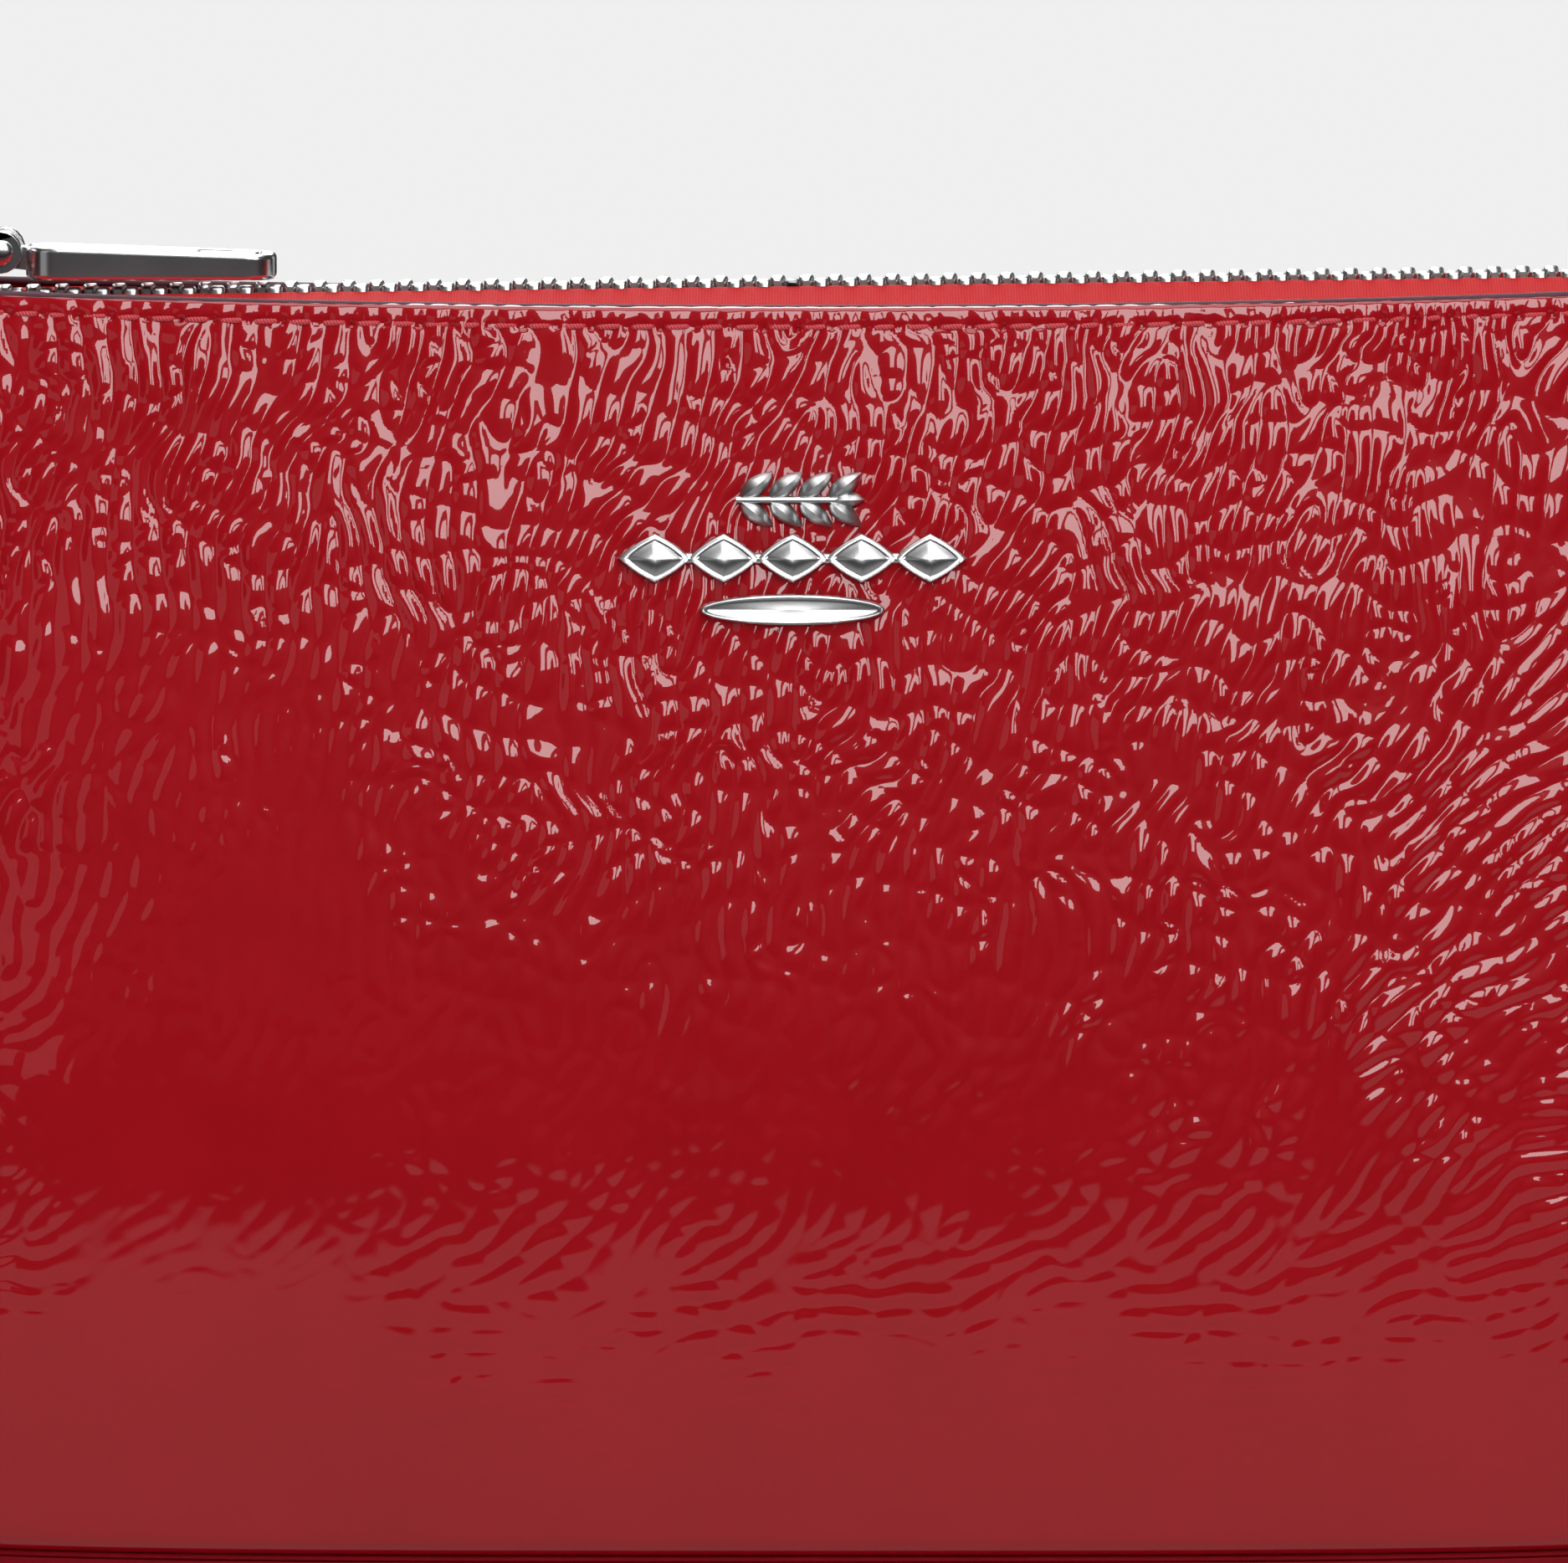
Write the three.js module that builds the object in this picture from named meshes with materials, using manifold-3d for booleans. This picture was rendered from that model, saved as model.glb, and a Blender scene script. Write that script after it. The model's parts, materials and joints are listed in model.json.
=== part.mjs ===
// Zip-top leather pouch: soft panels over a flat base, with a metal zip along the mouth.
// Millimetres. +X runs along the zip, -Y is the front, +Z is up, and z = 0 is the base.
import * as THREE from "three";
import { mergeVertices } from "three/addons/utils/BufferGeometryUtils.js";
import Module from "manifold-3d";

const wasm = await Module();
wasm.setup();

// ---------------------------------------------------------------- driving dimensions
const bodyLength = 160; // along the zip, over the side seams
const bodyHeight = 103; // base to the panels' top edge, at the ends
const bodyDepth = 40; // front to back at the belly
const mouthDepth = 21; // front to back over the panels' top edges
const baseDepth = 34; // front to back at the bottom seam
const bellyShare = 0.33; // height of the fullest section, as a share of the panel
const mouthDip = 1.6; // how far the top edge sinks in the middle
const baseInset = 3; // how far the ends pull in at the bottom seam
const topInset = 1; // how far the ends pull in at the mouth
const squareness = 3.2; // exponent of the plan outline: 2 is an ellipse

const gap = 0.3; // clearance between pieces that touch
const leather = 1.3; // panel thickness
const baseLeather = 1.4;
const boardThick = 1.3; // stiffener in the base
const clothThick = 0.6; // lining
const feltThick = 0.5; // interlining between leather and lining
const pocketThick = 0.5;
const patchThick = 0.8;
const tapeThick = 0.5;

const slipPocketHalf = 46;
const slipPocketDrop = 40; // slip pocket's mouth below the top edge
const bindingHeight = 3.6;
const cardPocketHalf = 44;
const cardPocketDrops = [58, 46]; // card pockets' mouths below the top edge, inner layer first
const pocketFoot = 10; // pockets' bottom edge above the ground
const patchHalf = 15;
const patchDrop = 18; // patch's upper edge below the top edge
const patchHeight = 12;
const seamTapeHalf = 4;
const interliningDrop = 28; // interlining's upper edge below the top edge
const interliningTurn = 0.1; // where it starts, as a share of the way round from a side seam
const backingHalf = 14.5;
const backingReach = 6.2; // emblem backing above and below the emblem's middle

const chainLift = 0.9; // chain centre above the middle of the panels' top edge
const chainTilt = 0.0122; // rise of the chain per millimetre towards +X
const toothPitch = 2.3; // along one row
const toothWidth = 0.84;
const toothHeight = 1.5;
const toothReach = 0.5; // how far a tooth passes the centre line
const beadInner = 2.1; // the bead cord that the teeth clamp
const beadOuter = 3.0;
const tapeFlat = 4.5; // half-width of the flat part of the tape
const stripDepth = 9; // sewn part of the tape inside each panel, below the top edge
const stripTop = 1.1;
const sliderLength = 9;
const sliderMargin = 10; // slider's middle to the side seam, with the zip closed
const chainMargin = 11; // last tooth to the other side seam
const closedLength = 12; // closed end of the chain, where the slider stops
const stopLength = 1.4;
const stopSpace = 0.7; // top stop to the slider

const sliderHeadHalf = 3.9;
const sliderTailHalf = 3.75;
const plateThick = 0.8;
const flangeDrop = 0.5;
const flangeThick = 0.55;
const wedgeHalf = 0.9;
const wedgeLength = 2.1;
const bridgeHalf = 1.0;
const bridgeLeg = 1.3;
const bridgeBar = 0.85;
const bridgeGapLength = 3.8; // clear length under the bridge
const bridgeClear = 2.05; // clear height under the bridge

const crossbarRadius = 0.6;
const linkReach = 7.3; // crossbar to pull pin
const linkRise = 0.85;
const linkHalf = 3.2;
const knuckleRadius = 1.7;
const armThick = 1.3;
const pinRadius = 0.7;
const pinHeadRadius = 1.05;
const pinHeadHeight = 0.4;
const tabLength = 20;
const tabHalf = 3.25;
const tabThickNear = 2.7;
const tabThickFar = 2.0;
const tabDropNear = 0.9; // tab's middle below the pin, at its near end
const tabDropFar = 1.5;
const tongueRadius = 1.4;
const tabSlotLength = 4.6;
const tabSlotHalf = 1.7;
const tabSlotFromEnd = 1.5;

const emblemDrop = 20.2; // emblem's middle below the top edge
const emblemBarLength = 27.5;
const emblemBarHeight = 3.8;
const emblemThick = 1.1;
const sprigLength = 11.5;
const sprigHeight = 4.3;
const sprigOffset = 3.5;
const plateLength = 14.6;
const plateHeight = 2.4;
const plateOffset = -5.1;
const barOffset = -1.1;

// ---------------------------------------------------------------- materials
const finish = (color, roughness, metalness) =>
  new THREE.MeshStandardMaterial({ color, roughness, metalness });
const patent = finish(0x9a0a18, 0.15, 0);
const baseHide = finish(0x6e0610, 0.35, 0);
const twill = finish(0x7a1420, 0.9, 0);
const felt = finish(0xd9d2c4, 0.95, 0);
const board = finish(0xa98f6c, 0.9, 0);
const innerHide = finish(0x8a1018, 0.5, 0);
const ribbon = finish(0xb8202a, 0.8, 0);
const nickel = finish(0xb9bcc0, 0.25, 1);
const chrome = finish(0xd6d8da, 0.08, 1);

// ---------------------------------------------------------------- places along the zip
const sliderRest = -(bodyLength / 2 - sliderMargin);
const rowStart = sliderRest - 1.5; // first tooth, past the slider's wedge
const tapeStart = rowStart - 1.5;
const chainEnd = bodyLength / 2 - chainMargin;
const closedStart = chainEnd - closedLength;
const rowEnd = closedStart - 1; // end of the rows that the slider parts
const emblemHeight = bodyHeight - emblemDrop;

// ---------------------------------------------------------------- solids
// A closed solid between two grids of points with the same rows and columns.
function slab(columns, rows, near, far) {
  const points = [];
  for (const face of [near, far]) {
    for (let i = 0; i <= columns; i++) {
      for (let j = 0; j <= rows; j++) points.push(face(i / columns, j / rows));
    }
  }
  const layer = (columns + 1) * (rows + 1);
  const at = (i, j, side) => side * layer + i * (rows + 1) + j;
  const index = [];
  const quad = (a, b, c, d) => index.push(a, b, c, a, c, d);
  for (let i = 0; i < columns; i++) {
    for (let j = 0; j < rows; j++) {
      quad(at(i, j, 0), at(i + 1, j, 0), at(i + 1, j + 1, 0), at(i, j + 1, 0));
      quad(at(i, j, 1), at(i, j + 1, 1), at(i + 1, j + 1, 1), at(i + 1, j, 1));
    }
    quad(at(i, 0, 0), at(i, 0, 1), at(i + 1, 0, 1), at(i + 1, 0, 0));
    quad(at(i, rows, 0), at(i + 1, rows, 0), at(i + 1, rows, 1), at(i, rows, 1));
  }
  for (let j = 0; j < rows; j++) {
    quad(at(0, j, 0), at(0, j + 1, 0), at(0, j + 1, 1), at(0, j, 1));
    quad(at(columns, j, 0), at(columns, j, 1), at(columns, j + 1, 1), at(columns, j + 1, 0));
  }
  return facingOut(points, index);
}

// Turns every face round when they point inwards.
function facingOut(points, index) {
  let volume = 0;
  for (let k = 0; k < index.length; k += 3) {
    const [a, b, c] = [points[index[k]], points[index[k + 1]], points[index[k + 2]]];
    volume += a.dot(new THREE.Vector3().crossVectors(b, c));
  }
  if (volume < 0) index.reverse();
  const geometry = new THREE.BufferGeometry().setFromPoints(points);
  return geometry.setIndex(index);
}

function solidOf(geometry) {
  const bare = geometry.clone();
  bare.deleteAttribute("normal");
  bare.deleteAttribute("uv");
  const merged = mergeVertices(bare, 1e-4);
  const vertProperties = new Float32Array(merged.attributes.position.array);
  const triVerts = new Uint32Array(merged.index.array);
  return new wasm.Manifold(new wasm.Mesh({ numProp: 3, vertProperties, triVerts }));
}

function geometryOf(solid) {
  const mesh = solid.getMesh();
  const geometry = new THREE.BufferGeometry();
  geometry.setAttribute("position", new THREE.BufferAttribute(mesh.vertProperties, 3));
  return geometry.setIndex(new THREE.BufferAttribute(mesh.triVerts, 1));
}

const joined = (...parts) =>
  geometryOf(parts.map(solidOf).reduce((all, next) => all.add(next)));
const cut = (body, ...tools) =>
  geometryOf(tools.map(solidOf).reduce((left, tool) => left.subtract(tool), solidOf(body)));

function block(x0, x1, y0, y1, z0, z1) {
  const box = new THREE.BoxGeometry(x1 - x0, y1 - y0, z1 - z0);
  return box.translate((x0 + x1) / 2, (y0 + y1) / 2, (z0 + z1) / 2);
}

// A flat outline in X and Z, drawn out evenly to both sides of y = 0.
function sideExtrusion(shape, halfWidth, curveSegments = 8) {
  const settings = { depth: 2 * halfWidth, bevelEnabled: false, curveSegments };
  const geometry = new THREE.ExtrudeGeometry(shape, settings);
  return geometry.rotateX(Math.PI / 2).translate(0, halfWidth, 0);
}

// A round bar along Y.
function roundBar(radius, y0, y1, sides = 12) {
  const bar = new THREE.CylinderGeometry(radius, radius, y1 - y0, sides);
  return bar.translate(0, (y0 + y1) / 2, 0);
}

// ---------------------------------------------------------------- the body's form
const panelFoot = baseLeather + gap; // height of the panels' bottom edge
const mix = (a, b, share) => a + (b - a) * share;
const front = 1; // side of the mid plane: towards -Y
const back = -1;

function halfDepth(share) {
  const belly = bodyDepth / 2;
  if (share < bellyShare) {
    const rise = Math.sin((Math.PI / 2) * Math.max(share, 0) / bellyShare);
    return mix(baseDepth / 2, belly, rise);
  }
  const climb = (share - bellyShare) / (1 - bellyShare);
  return mix(belly, mouthDepth / 2, climb ** 1.6);
}

function halfLength(share) {
  const belly = bodyLength / 2;
  if (share < bellyShare) {
    const rise = Math.sin((Math.PI / 2) * Math.max(share, 0) / bellyShare);
    return mix(belly - baseInset, belly, rise);
  }
  const climb = (share - bellyShare) / (1 - bellyShare);
  return mix(belly, belly - topInset, climb ** 1.6);
}

const topEdge = (x) => bodyHeight - mouthDip * (1 - (2 * x / bodyLength) ** 2);
const shareAt = (z) => (z - panelFoot) / (bodyHeight - panelFoot);

// Distance from the mid plane to a layer that lies `inset` inside the outer surface.
function wallDepth(x, z, inset) {
  const share = shareAt(z);
  const a = halfLength(share) - inset;
  const b = halfDepth(share) - inset;
  return b * Math.max(0, 1 - Math.abs(x / a) ** squareness) ** (1 / squareness);
}

// A point of a wall that runs from one side seam (turn 0) to the other (turn 1).
function wallPoint(turn, z, inset, side) {
  const share = shareAt(z);
  const a = halfLength(share) - inset;
  const b = halfDepth(share) - inset;
  const c = Math.cos(Math.PI * turn);
  const s = Math.abs(Math.sin(Math.PI * turn));
  const x = -a * Math.sign(c) * Math.abs(c) ** (2 / squareness);
  const y = gap / 2 + (b - gap / 2) * s ** (2 / squareness);
  return new THREE.Vector3(x, -side * y, z);
}

const level = (z) => () => z;
const belowEdge = (drop) => (x) => topEdge(x) - drop;

// A wall layer between two heights that depend on x. It runs from seam to seam, or starts and
// ends `margin` of the way round from them.
function wall(side, inset, thick, low, high, columns, rows, margin = 0) {
  const layer = (depth) => (u, v) => {
    const turn = mix(margin, 1 - margin, u);
    const guess = wallPoint(turn, mix(low(0), high(0), v), depth, side);
    return wallPoint(turn, mix(low(guess.x), high(guess.x), v), depth, side);
  };
  return slab(columns, rows, layer(inset), layer(inset + thick));
}

// A patch on a wall between x0 and x1, z0 and z1.
function wallPatch(side, inset, thick, x0, x1, z0, z1, columns, rows) {
  const layer = (depth) => (u, v) => {
    const x = mix(x0, x1, u);
    const z = mix(z0, z1, v);
    return new THREE.Vector3(x, -side * wallDepth(x, z, depth), z);
  };
  return slab(columns, rows, layer(inset), layer(inset + thick));
}

// A level plate that fills the plan outline of a layer `inset` inside the bottom seam.
function basePlate(inset, z0, z1) {
  const face = (z) => (u, v) => {
    const edge = wallPoint(u, panelFoot, inset, front);
    return new THREE.Vector3(edge.x, mix(edge.y, -edge.y, v), z);
  };
  return slab(24, 1, face(z0), face(z1));
}

// ---------------------------------------------------------------- leather, lining, pockets
const innerFoot = panelFoot + boardThick + gap + clothThick + gap;
const feltInset = leather + gap;
const liningInset = feltInset + feltThick + gap;
const pocketInset = liningInset + clothThick + gap;
const liningDrop = 4.2; // lining's upper edge below the top edge
const slipPocketTop = bodyHeight - slipPocketDrop;
const patchHigh = bodyHeight - patchDrop;

const panel = (side) => wall(side, 0, leather, level(panelFoot), belowEdge(0), 26, 12);

function lining(side) {
  const high = belowEdge(liningDrop);
  return wall(side, liningInset, clothThick, level(innerFoot), high, 20, 8);
}

function interlining(side) {
  const high = belowEdge(interliningDrop);
  return wall(side, feltInset, feltThick, level(innerFoot), high, 16, 7, interliningTurn);
}

// Cloth tape that covers the side seam from inside.
function seamTape(direction) {
  const layer = (inset) => (u, v) => {
    const y = mix(-seamTapeHalf, seamTapeHalf, u);
    const z = mix(innerFoot, bodyHeight - interliningDrop, v);
    const a = halfLength(shareAt(z)) - inset;
    const b = halfDepth(shareAt(z)) - inset;
    const x = a * (1 - Math.abs(y / b) ** squareness) ** (1 / squareness);
    return new THREE.Vector3(direction * x, y, z);
  };
  return slab(4, 8, layer(feltInset), layer(feltInset + feltThick));
}

function pocket(side, inset, half, top) {
  return wallPatch(side, inset, pocketThick, -half, half, pocketFoot, top, 10, 5);
}

function pocketBinding() {
  const low = slipPocketTop + gap;
  const high = low + bindingHeight;
  const half = slipPocketHalf;
  return wallPatch(back, pocketInset, patchThick, -half, half, low, high, 10, 1);
}

function innerPatch() {
  const low = patchHigh - patchHeight;
  return wallPatch(back, pocketInset, patchThick, -patchHalf, patchHalf, low, patchHigh, 4, 2);
}

// ---------------------------------------------------------------- zip tape
const chainHeight = bodyHeight - mouthDip + chainLift;
const chainZ = (x) => chainHeight + chainTilt * x;
const mouthInner = (x) => wallDepth(x, bodyHeight, leather) - gap;
const tapeInner = beadOuter + gap;

// Sewn part of the tape, flat against the inside of a panel.
function tapeStrip(side) {
  const underTape = (x) => chainZ(x) - tapeThick / 2 - gap;
  const high = (x) => Math.min(topEdge(x) - stripTop, underTape(x));
  return wall(side, feltInset, tapeThick, belowEdge(stripDepth), high, 16, 1, interliningTurn);
}

// Height of the tape's middle: level beside the chain, then down to the panel's edge.
function tapeHeight(x, y) {
  const outer = Math.max(mouthInner(x), tapeFlat + 0.1);
  const share = Math.min(1, Math.max(0, (y - tapeFlat) / (outer - tapeFlat)));
  return mix(chainZ(x), Math.min(topEdge(x) - 0.7, chainZ(x)), share);
}

// Level part of the tape between x0 and x1, from the bead cord out to the panel.
function tapeLeaf(side, x0, x1, columns) {
  const face = (offset) => (u, v) => {
    const x = mix(x0, x1, u);
    const outer = mouthInner(x);
    const bend = Math.min(tapeFlat, mix(tapeInner, outer, 0.5));
    const y = v < 0.5 ? mix(tapeInner, bend, 2 * v) : mix(bend, outer, 2 * v - 1);
    return new THREE.Vector3(x, -side * y, tapeHeight(x, y) + offset);
  };
  return slab(columns, 4, face(-tapeThick / 2), face(tapeThick / 2));
}

// Closed end of the tape, across the mouth beside a side seam.
function tapeEnd(x0, x1) {
  const face = (offset) => (u, v) => {
    const x = mix(x0, x1, u);
    const y = mix(-mouthInner(x), mouthInner(x), v);
    return new THREE.Vector3(x, y, tapeHeight(x, Math.abs(y)) + offset);
  };
  return slab(5, 6, face(-tapeThick / 2), face(tapeThick / 2));
}

const seamReach = () => halfLength(1) - leather - 2 * gap;

const leftTapeEnd = () => tapeEnd(-seamReach(), sliderRest - sliderLength / 2 - gap);

function rightTapeEnd() {
  const legStart = closedStart + gap;
  const joint = chainEnd + stopLength + 2.7 * gap;
  return joined(
    tapeLeaf(front, legStart, joint + 0.5, 8),
    tapeLeaf(back, legStart, joint + 0.5, 8),
    tapeEnd(joint, seamReach()),
  );
}

// ---------------------------------------------------------------- zip chain, in the chain's own frame
// Teeth of one row from x0 to x1 with the bead cord that holds them, as one comb.
function toothRow(side, x0, x1) {
  const shift = side === front ? 0 : toothPitch / 2;
  const first = Math.ceil((x0 + toothWidth / 2 - shift) / toothPitch);
  const last = Math.floor((x1 - toothWidth / 2 - shift) / toothPitch);
  const comb = new THREE.Shape();
  comb.moveTo(x1, beadInner);
  comb.lineTo(x1, beadOuter);
  comb.lineTo(x0, beadOuter);
  comb.lineTo(x0, beadInner);
  for (let k = first; k <= last; k++) {
    const x = k * toothPitch + shift;
    comb.lineTo(x - toothWidth / 2, beadInner);
    comb.lineTo(x - toothWidth / 2, -toothReach);
    comb.lineTo(x + toothWidth / 2, -toothReach);
    comb.lineTo(x + toothWidth / 2, beadInner);
  }
  const row = new THREE.ExtrudeGeometry(comb, { depth: toothHeight, bevelEnabled: false });
  row.translate(0, 0, -toothHeight / 2);
  return side === front ? row.rotateX(Math.PI) : row;
}

function topStop() {
  const start = sliderRest - sliderLength / 2 - stopSpace - stopLength;
  const low = tapeThick / 2 + gap;
  return block(start, start + stopLength, -beadInner, beadInner, low, low + plateThick);
}

function bottomStop() {
  const start = chainEnd + gap;
  const half = toothHeight / 2;
  return block(start, start + stopLength, -beadOuter, beadOuter, -half, half);
}

// ---------------------------------------------------------------- slider, in its own frame
const channelHalf = toothHeight / 2 + gap;
const plateTop = channelHalf + plateThick;

function plateOutline() {
  const head = -sliderLength / 2;
  const tail = sliderLength / 2;
  const corner = 1.2;
  const shape = new THREE.Shape();
  shape.moveTo(head + corner, -sliderHeadHalf);
  shape.lineTo(tail - corner, -sliderTailHalf);
  shape.quadraticCurveTo(tail, -sliderTailHalf, tail, -sliderTailHalf + corner);
  shape.lineTo(tail, sliderTailHalf - corner);
  shape.quadraticCurveTo(tail, sliderTailHalf, tail - corner, sliderTailHalf);
  shape.lineTo(head + corner, sliderHeadHalf);
  shape.quadraticCurveTo(head, sliderHeadHalf, head, sliderHeadHalf - corner);
  shape.lineTo(head, -sliderHeadHalf + corner);
  shape.quadraticCurveTo(head, -sliderHeadHalf, head + corner, -sliderHeadHalf);
  return shape;
}

function sliderBody() {
  const settings = { depth: plateThick, bevelEnabled: false, curveSegments: 5 };
  const plate = () => new THREE.ExtrudeGeometry(plateOutline(), settings);
  const upper = plate().translate(0, 0, channelHalf);
  const lower = plate().translate(0, 0, -plateTop);
  const head = -sliderLength / 2 + 0.15;
  const reach = channelHalf + plateThick / 2;
  const wedge = block(head, head + wedgeLength, -wedgeHalf, wedgeHalf, -reach, reach);
  const flanges = [];
  for (const side of [front, back]) {
    for (const level of [-1, 1]) {
      const y = [side * (sliderTailHalf - flangeThick), side * sliderTailHalf];
      const z = [level * (channelHalf - flangeDrop), level * (channelHalf + plateThick / 2)];
      y.sort((a, b) => a - b);
      z.sort((a, b) => a - b);
      flanges.push(block(head + wedgeLength, sliderLength / 2 - 1, y[0], y[1], z[0], z[1]));
    }
  }
  return joined(upper, lower, wedge, ...flanges);
}

const crossbarX = -0.6; // pull's hinge axis, from the slider's middle
const crossbarZ = plateTop + gap + crossbarRadius + 0.1;

// Arch over the top plate that the pull's crossbar passes under.
function sliderBridge() {
  const left = crossbarX - bridgeGapLength / 2;
  const right = crossbarX + bridgeGapLength / 2;
  const foot = plateTop + gap / 2;
  const under = plateTop + bridgeClear;
  const over = under + bridgeBar;
  const shape = new THREE.Shape();
  shape.moveTo(left - bridgeLeg, foot);
  shape.lineTo(left - bridgeLeg, over - 1);
  shape.quadraticCurveTo(left - bridgeLeg, over, left - bridgeLeg + 1.2, over);
  shape.lineTo(right + bridgeLeg - 1.2, over);
  shape.quadraticCurveTo(right + bridgeLeg, over, right + bridgeLeg, over - 1);
  shape.lineTo(right + bridgeLeg, foot);
  shape.lineTo(right, foot);
  shape.lineTo(right, under);
  shape.lineTo(left, under);
  shape.lineTo(left, foot);
  shape.closePath();
  return sideExtrusion(shape, bridgeHalf, 5);
}

const pinX = crossbarX + linkReach;
const pinZ = crossbarZ + linkRise;

// Link from the crossbar to the pull pin: two arms, with a fork at the pin.
function pullLink() {
  const bar = roundBar(crossbarRadius, -linkHalf, linkHalf).translate(crossbarX, 0, crossbarZ);
  const knuckle = roundBar(knuckleRadius, -linkHalf, linkHalf, 18).translate(pinX, 0, pinZ);
  const arm = new THREE.Shape();
  arm.moveTo(crossbarX, crossbarZ - crossbarRadius);
  arm.lineTo(pinX - knuckleRadius * 0.6, pinZ - armThick / 2 - 0.2);
  arm.lineTo(pinX, pinZ + knuckleRadius - 0.05);
  arm.lineTo(pinX - knuckleRadius * 0.6, pinZ + knuckleRadius - 0.25);
  arm.lineTo(crossbarX, crossbarZ + crossbarRadius);
  arm.closePath();
  const whole = joined(bar, knuckle, sideExtrusion(arm, linkHalf));
  const windowHalf = bridgeHalf + gap;
  const windowStart = crossbarX + 0.7 * crossbarRadius;
  const windowEnd = pinX - knuckleRadius - 0.9;
  const tall = pinZ + 3;
  const forkHalf = tabHalf - armThick - gap;
  return cut(
    whole,
    block(windowStart, windowEnd, -windowHalf, windowHalf, 0, tall),
    block(pinX - knuckleRadius - gap, pinX + 3, -forkHalf, forkHalf, 0, tall),
    roundBar(pinRadius + gap / 3, -tabHalf, tabHalf).translate(pinX, 0, pinZ),
  );
}

// Pin with a domed head at each end.
function pullPin() {
  const reach = linkHalf + gap / 2;
  const profile = [new THREE.Vector2(0, -reach - pinHeadHeight)];
  const steps = 3;
  for (let k = 1; k <= steps; k++) {
    const turn = (Math.PI / 2) * (k / steps);
    const r = pinHeadRadius * Math.sin(turn);
    profile.push(new THREE.Vector2(r, -reach - pinHeadHeight * Math.cos(turn)));
  }
  profile.push(new THREE.Vector2(pinRadius, -reach));
  const mirrored = profile.map((p) => new THREE.Vector2(p.x, -p.y)).reverse();
  const pin = new THREE.LatheGeometry([...profile, ...mirrored], 12);
  return pin.translate(pinX, 0, pinZ);
}

function pullTab() {
  const near = pinX + knuckleRadius + 0.25;
  const far = near + tabLength;
  const zNear = pinZ - tabDropNear;
  const zFar = pinZ - tabDropFar;
  const plan = new THREE.Shape();
  const round = 2.2;
  plan.moveTo(near, -tabHalf);
  plan.lineTo(far - round, -tabHalf);
  plan.quadraticCurveTo(far, -tabHalf, far, -tabHalf + round);
  plan.lineTo(far, tabHalf - round);
  plan.quadraticCurveTo(far, tabHalf, far - round, tabHalf);
  plan.lineTo(near, tabHalf);
  plan.closePath();
  const slotEnd = far - tabSlotFromEnd;
  const slotStart = slotEnd - tabSlotLength;
  const slot = new THREE.Path();
  slot.moveTo(slotStart, -tabSlotHalf);
  slot.lineTo(slotStart, tabSlotHalf);
  slot.lineTo(slotEnd, tabSlotHalf);
  slot.lineTo(slotEnd, -tabSlotHalf);
  slot.closePath();
  plan.holes.push(slot);
  const bar = new THREE.ExtrudeGeometry(plan, { depth: 1, bevelEnabled: false, curveSegments: 6 });
  const spots = bar.attributes.position;
  for (let k = 0; k < spots.count; k++) {
    const along = (spots.getX(k) - near) / tabLength;
    const thick = mix(tabThickNear, tabThickFar, along);
    spots.setZ(k, mix(zNear, zFar, along) + (spots.getZ(k) - 0.5) * thick);
  }
  const tongueHalf = tabHalf - armThick - 2 * gap;
  const knob = roundBar(tongueRadius, -tongueHalf, tongueHalf, 16).translate(pinX, 0, pinZ);
  const low = zNear - tabThickNear / 2 + 0.4;
  const neck = block(pinX, near + 0.5, -tongueHalf, tongueHalf, low, pinZ + 0.2);
  const hole = roundBar(pinRadius + gap, -tabHalf, tabHalf).translate(pinX, 0, pinZ);
  return cut(joined(bar, knob, neck), hole);
}

// ---------------------------------------------------------------- emblem, in its own flat frame
// Each piece is drawn in X and Z with its back at y = 0 and its face towards -Y.
function plaque(shape, thick) {
  const settings = { depth: thick, bevelEnabled: false, curveSegments: 4 };
  return new THREE.ExtrudeGeometry(shape, settings).rotateX(Math.PI / 2);
}

// Five lozenges on a rail.
function emblemBar() {
  const count = 5;
  const step = emblemBarLength / count;
  const half = emblemBarHeight / 2;
  const rail = block(-emblemBarLength / 2 + 1, emblemBarLength / 2 - 1, -0.7, 0, -0.55, 0.55);
  const beads = [];
  for (let k = 0; k < count; k++) {
    const x = (k - (count - 1) / 2) * step;
    const shape = new THREE.Shape();
    shape.moveTo(x - step / 2 + 0.1, 0);
    shape.quadraticCurveTo(x - step / 4, -half * 0.8, x, -half);
    shape.quadraticCurveTo(x + step / 4, -half * 0.8, x + step / 2 - 0.1, 0);
    shape.quadraticCurveTo(x + step / 4, half * 0.8, x, half);
    shape.quadraticCurveTo(x - step / 4, half * 0.8, x - step / 2 + 0.1, 0);
    beads.push(plaque(shape, emblemThick));
  }
  return joined(rail, ...beads);
}

// A leaf whose stem is at the origin and whose tip is at (length, 0), turned by `angle`.
function leaf(length, width, angle) {
  const shape = new THREE.Shape();
  shape.moveTo(-0.3, 0);
  shape.quadraticCurveTo(length * 0.35, -width, length, 0);
  shape.quadraticCurveTo(length * 0.35, width, -0.3, 0);
  return plaque(shape, emblemThick * 0.8).rotateY(-angle);
}

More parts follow.
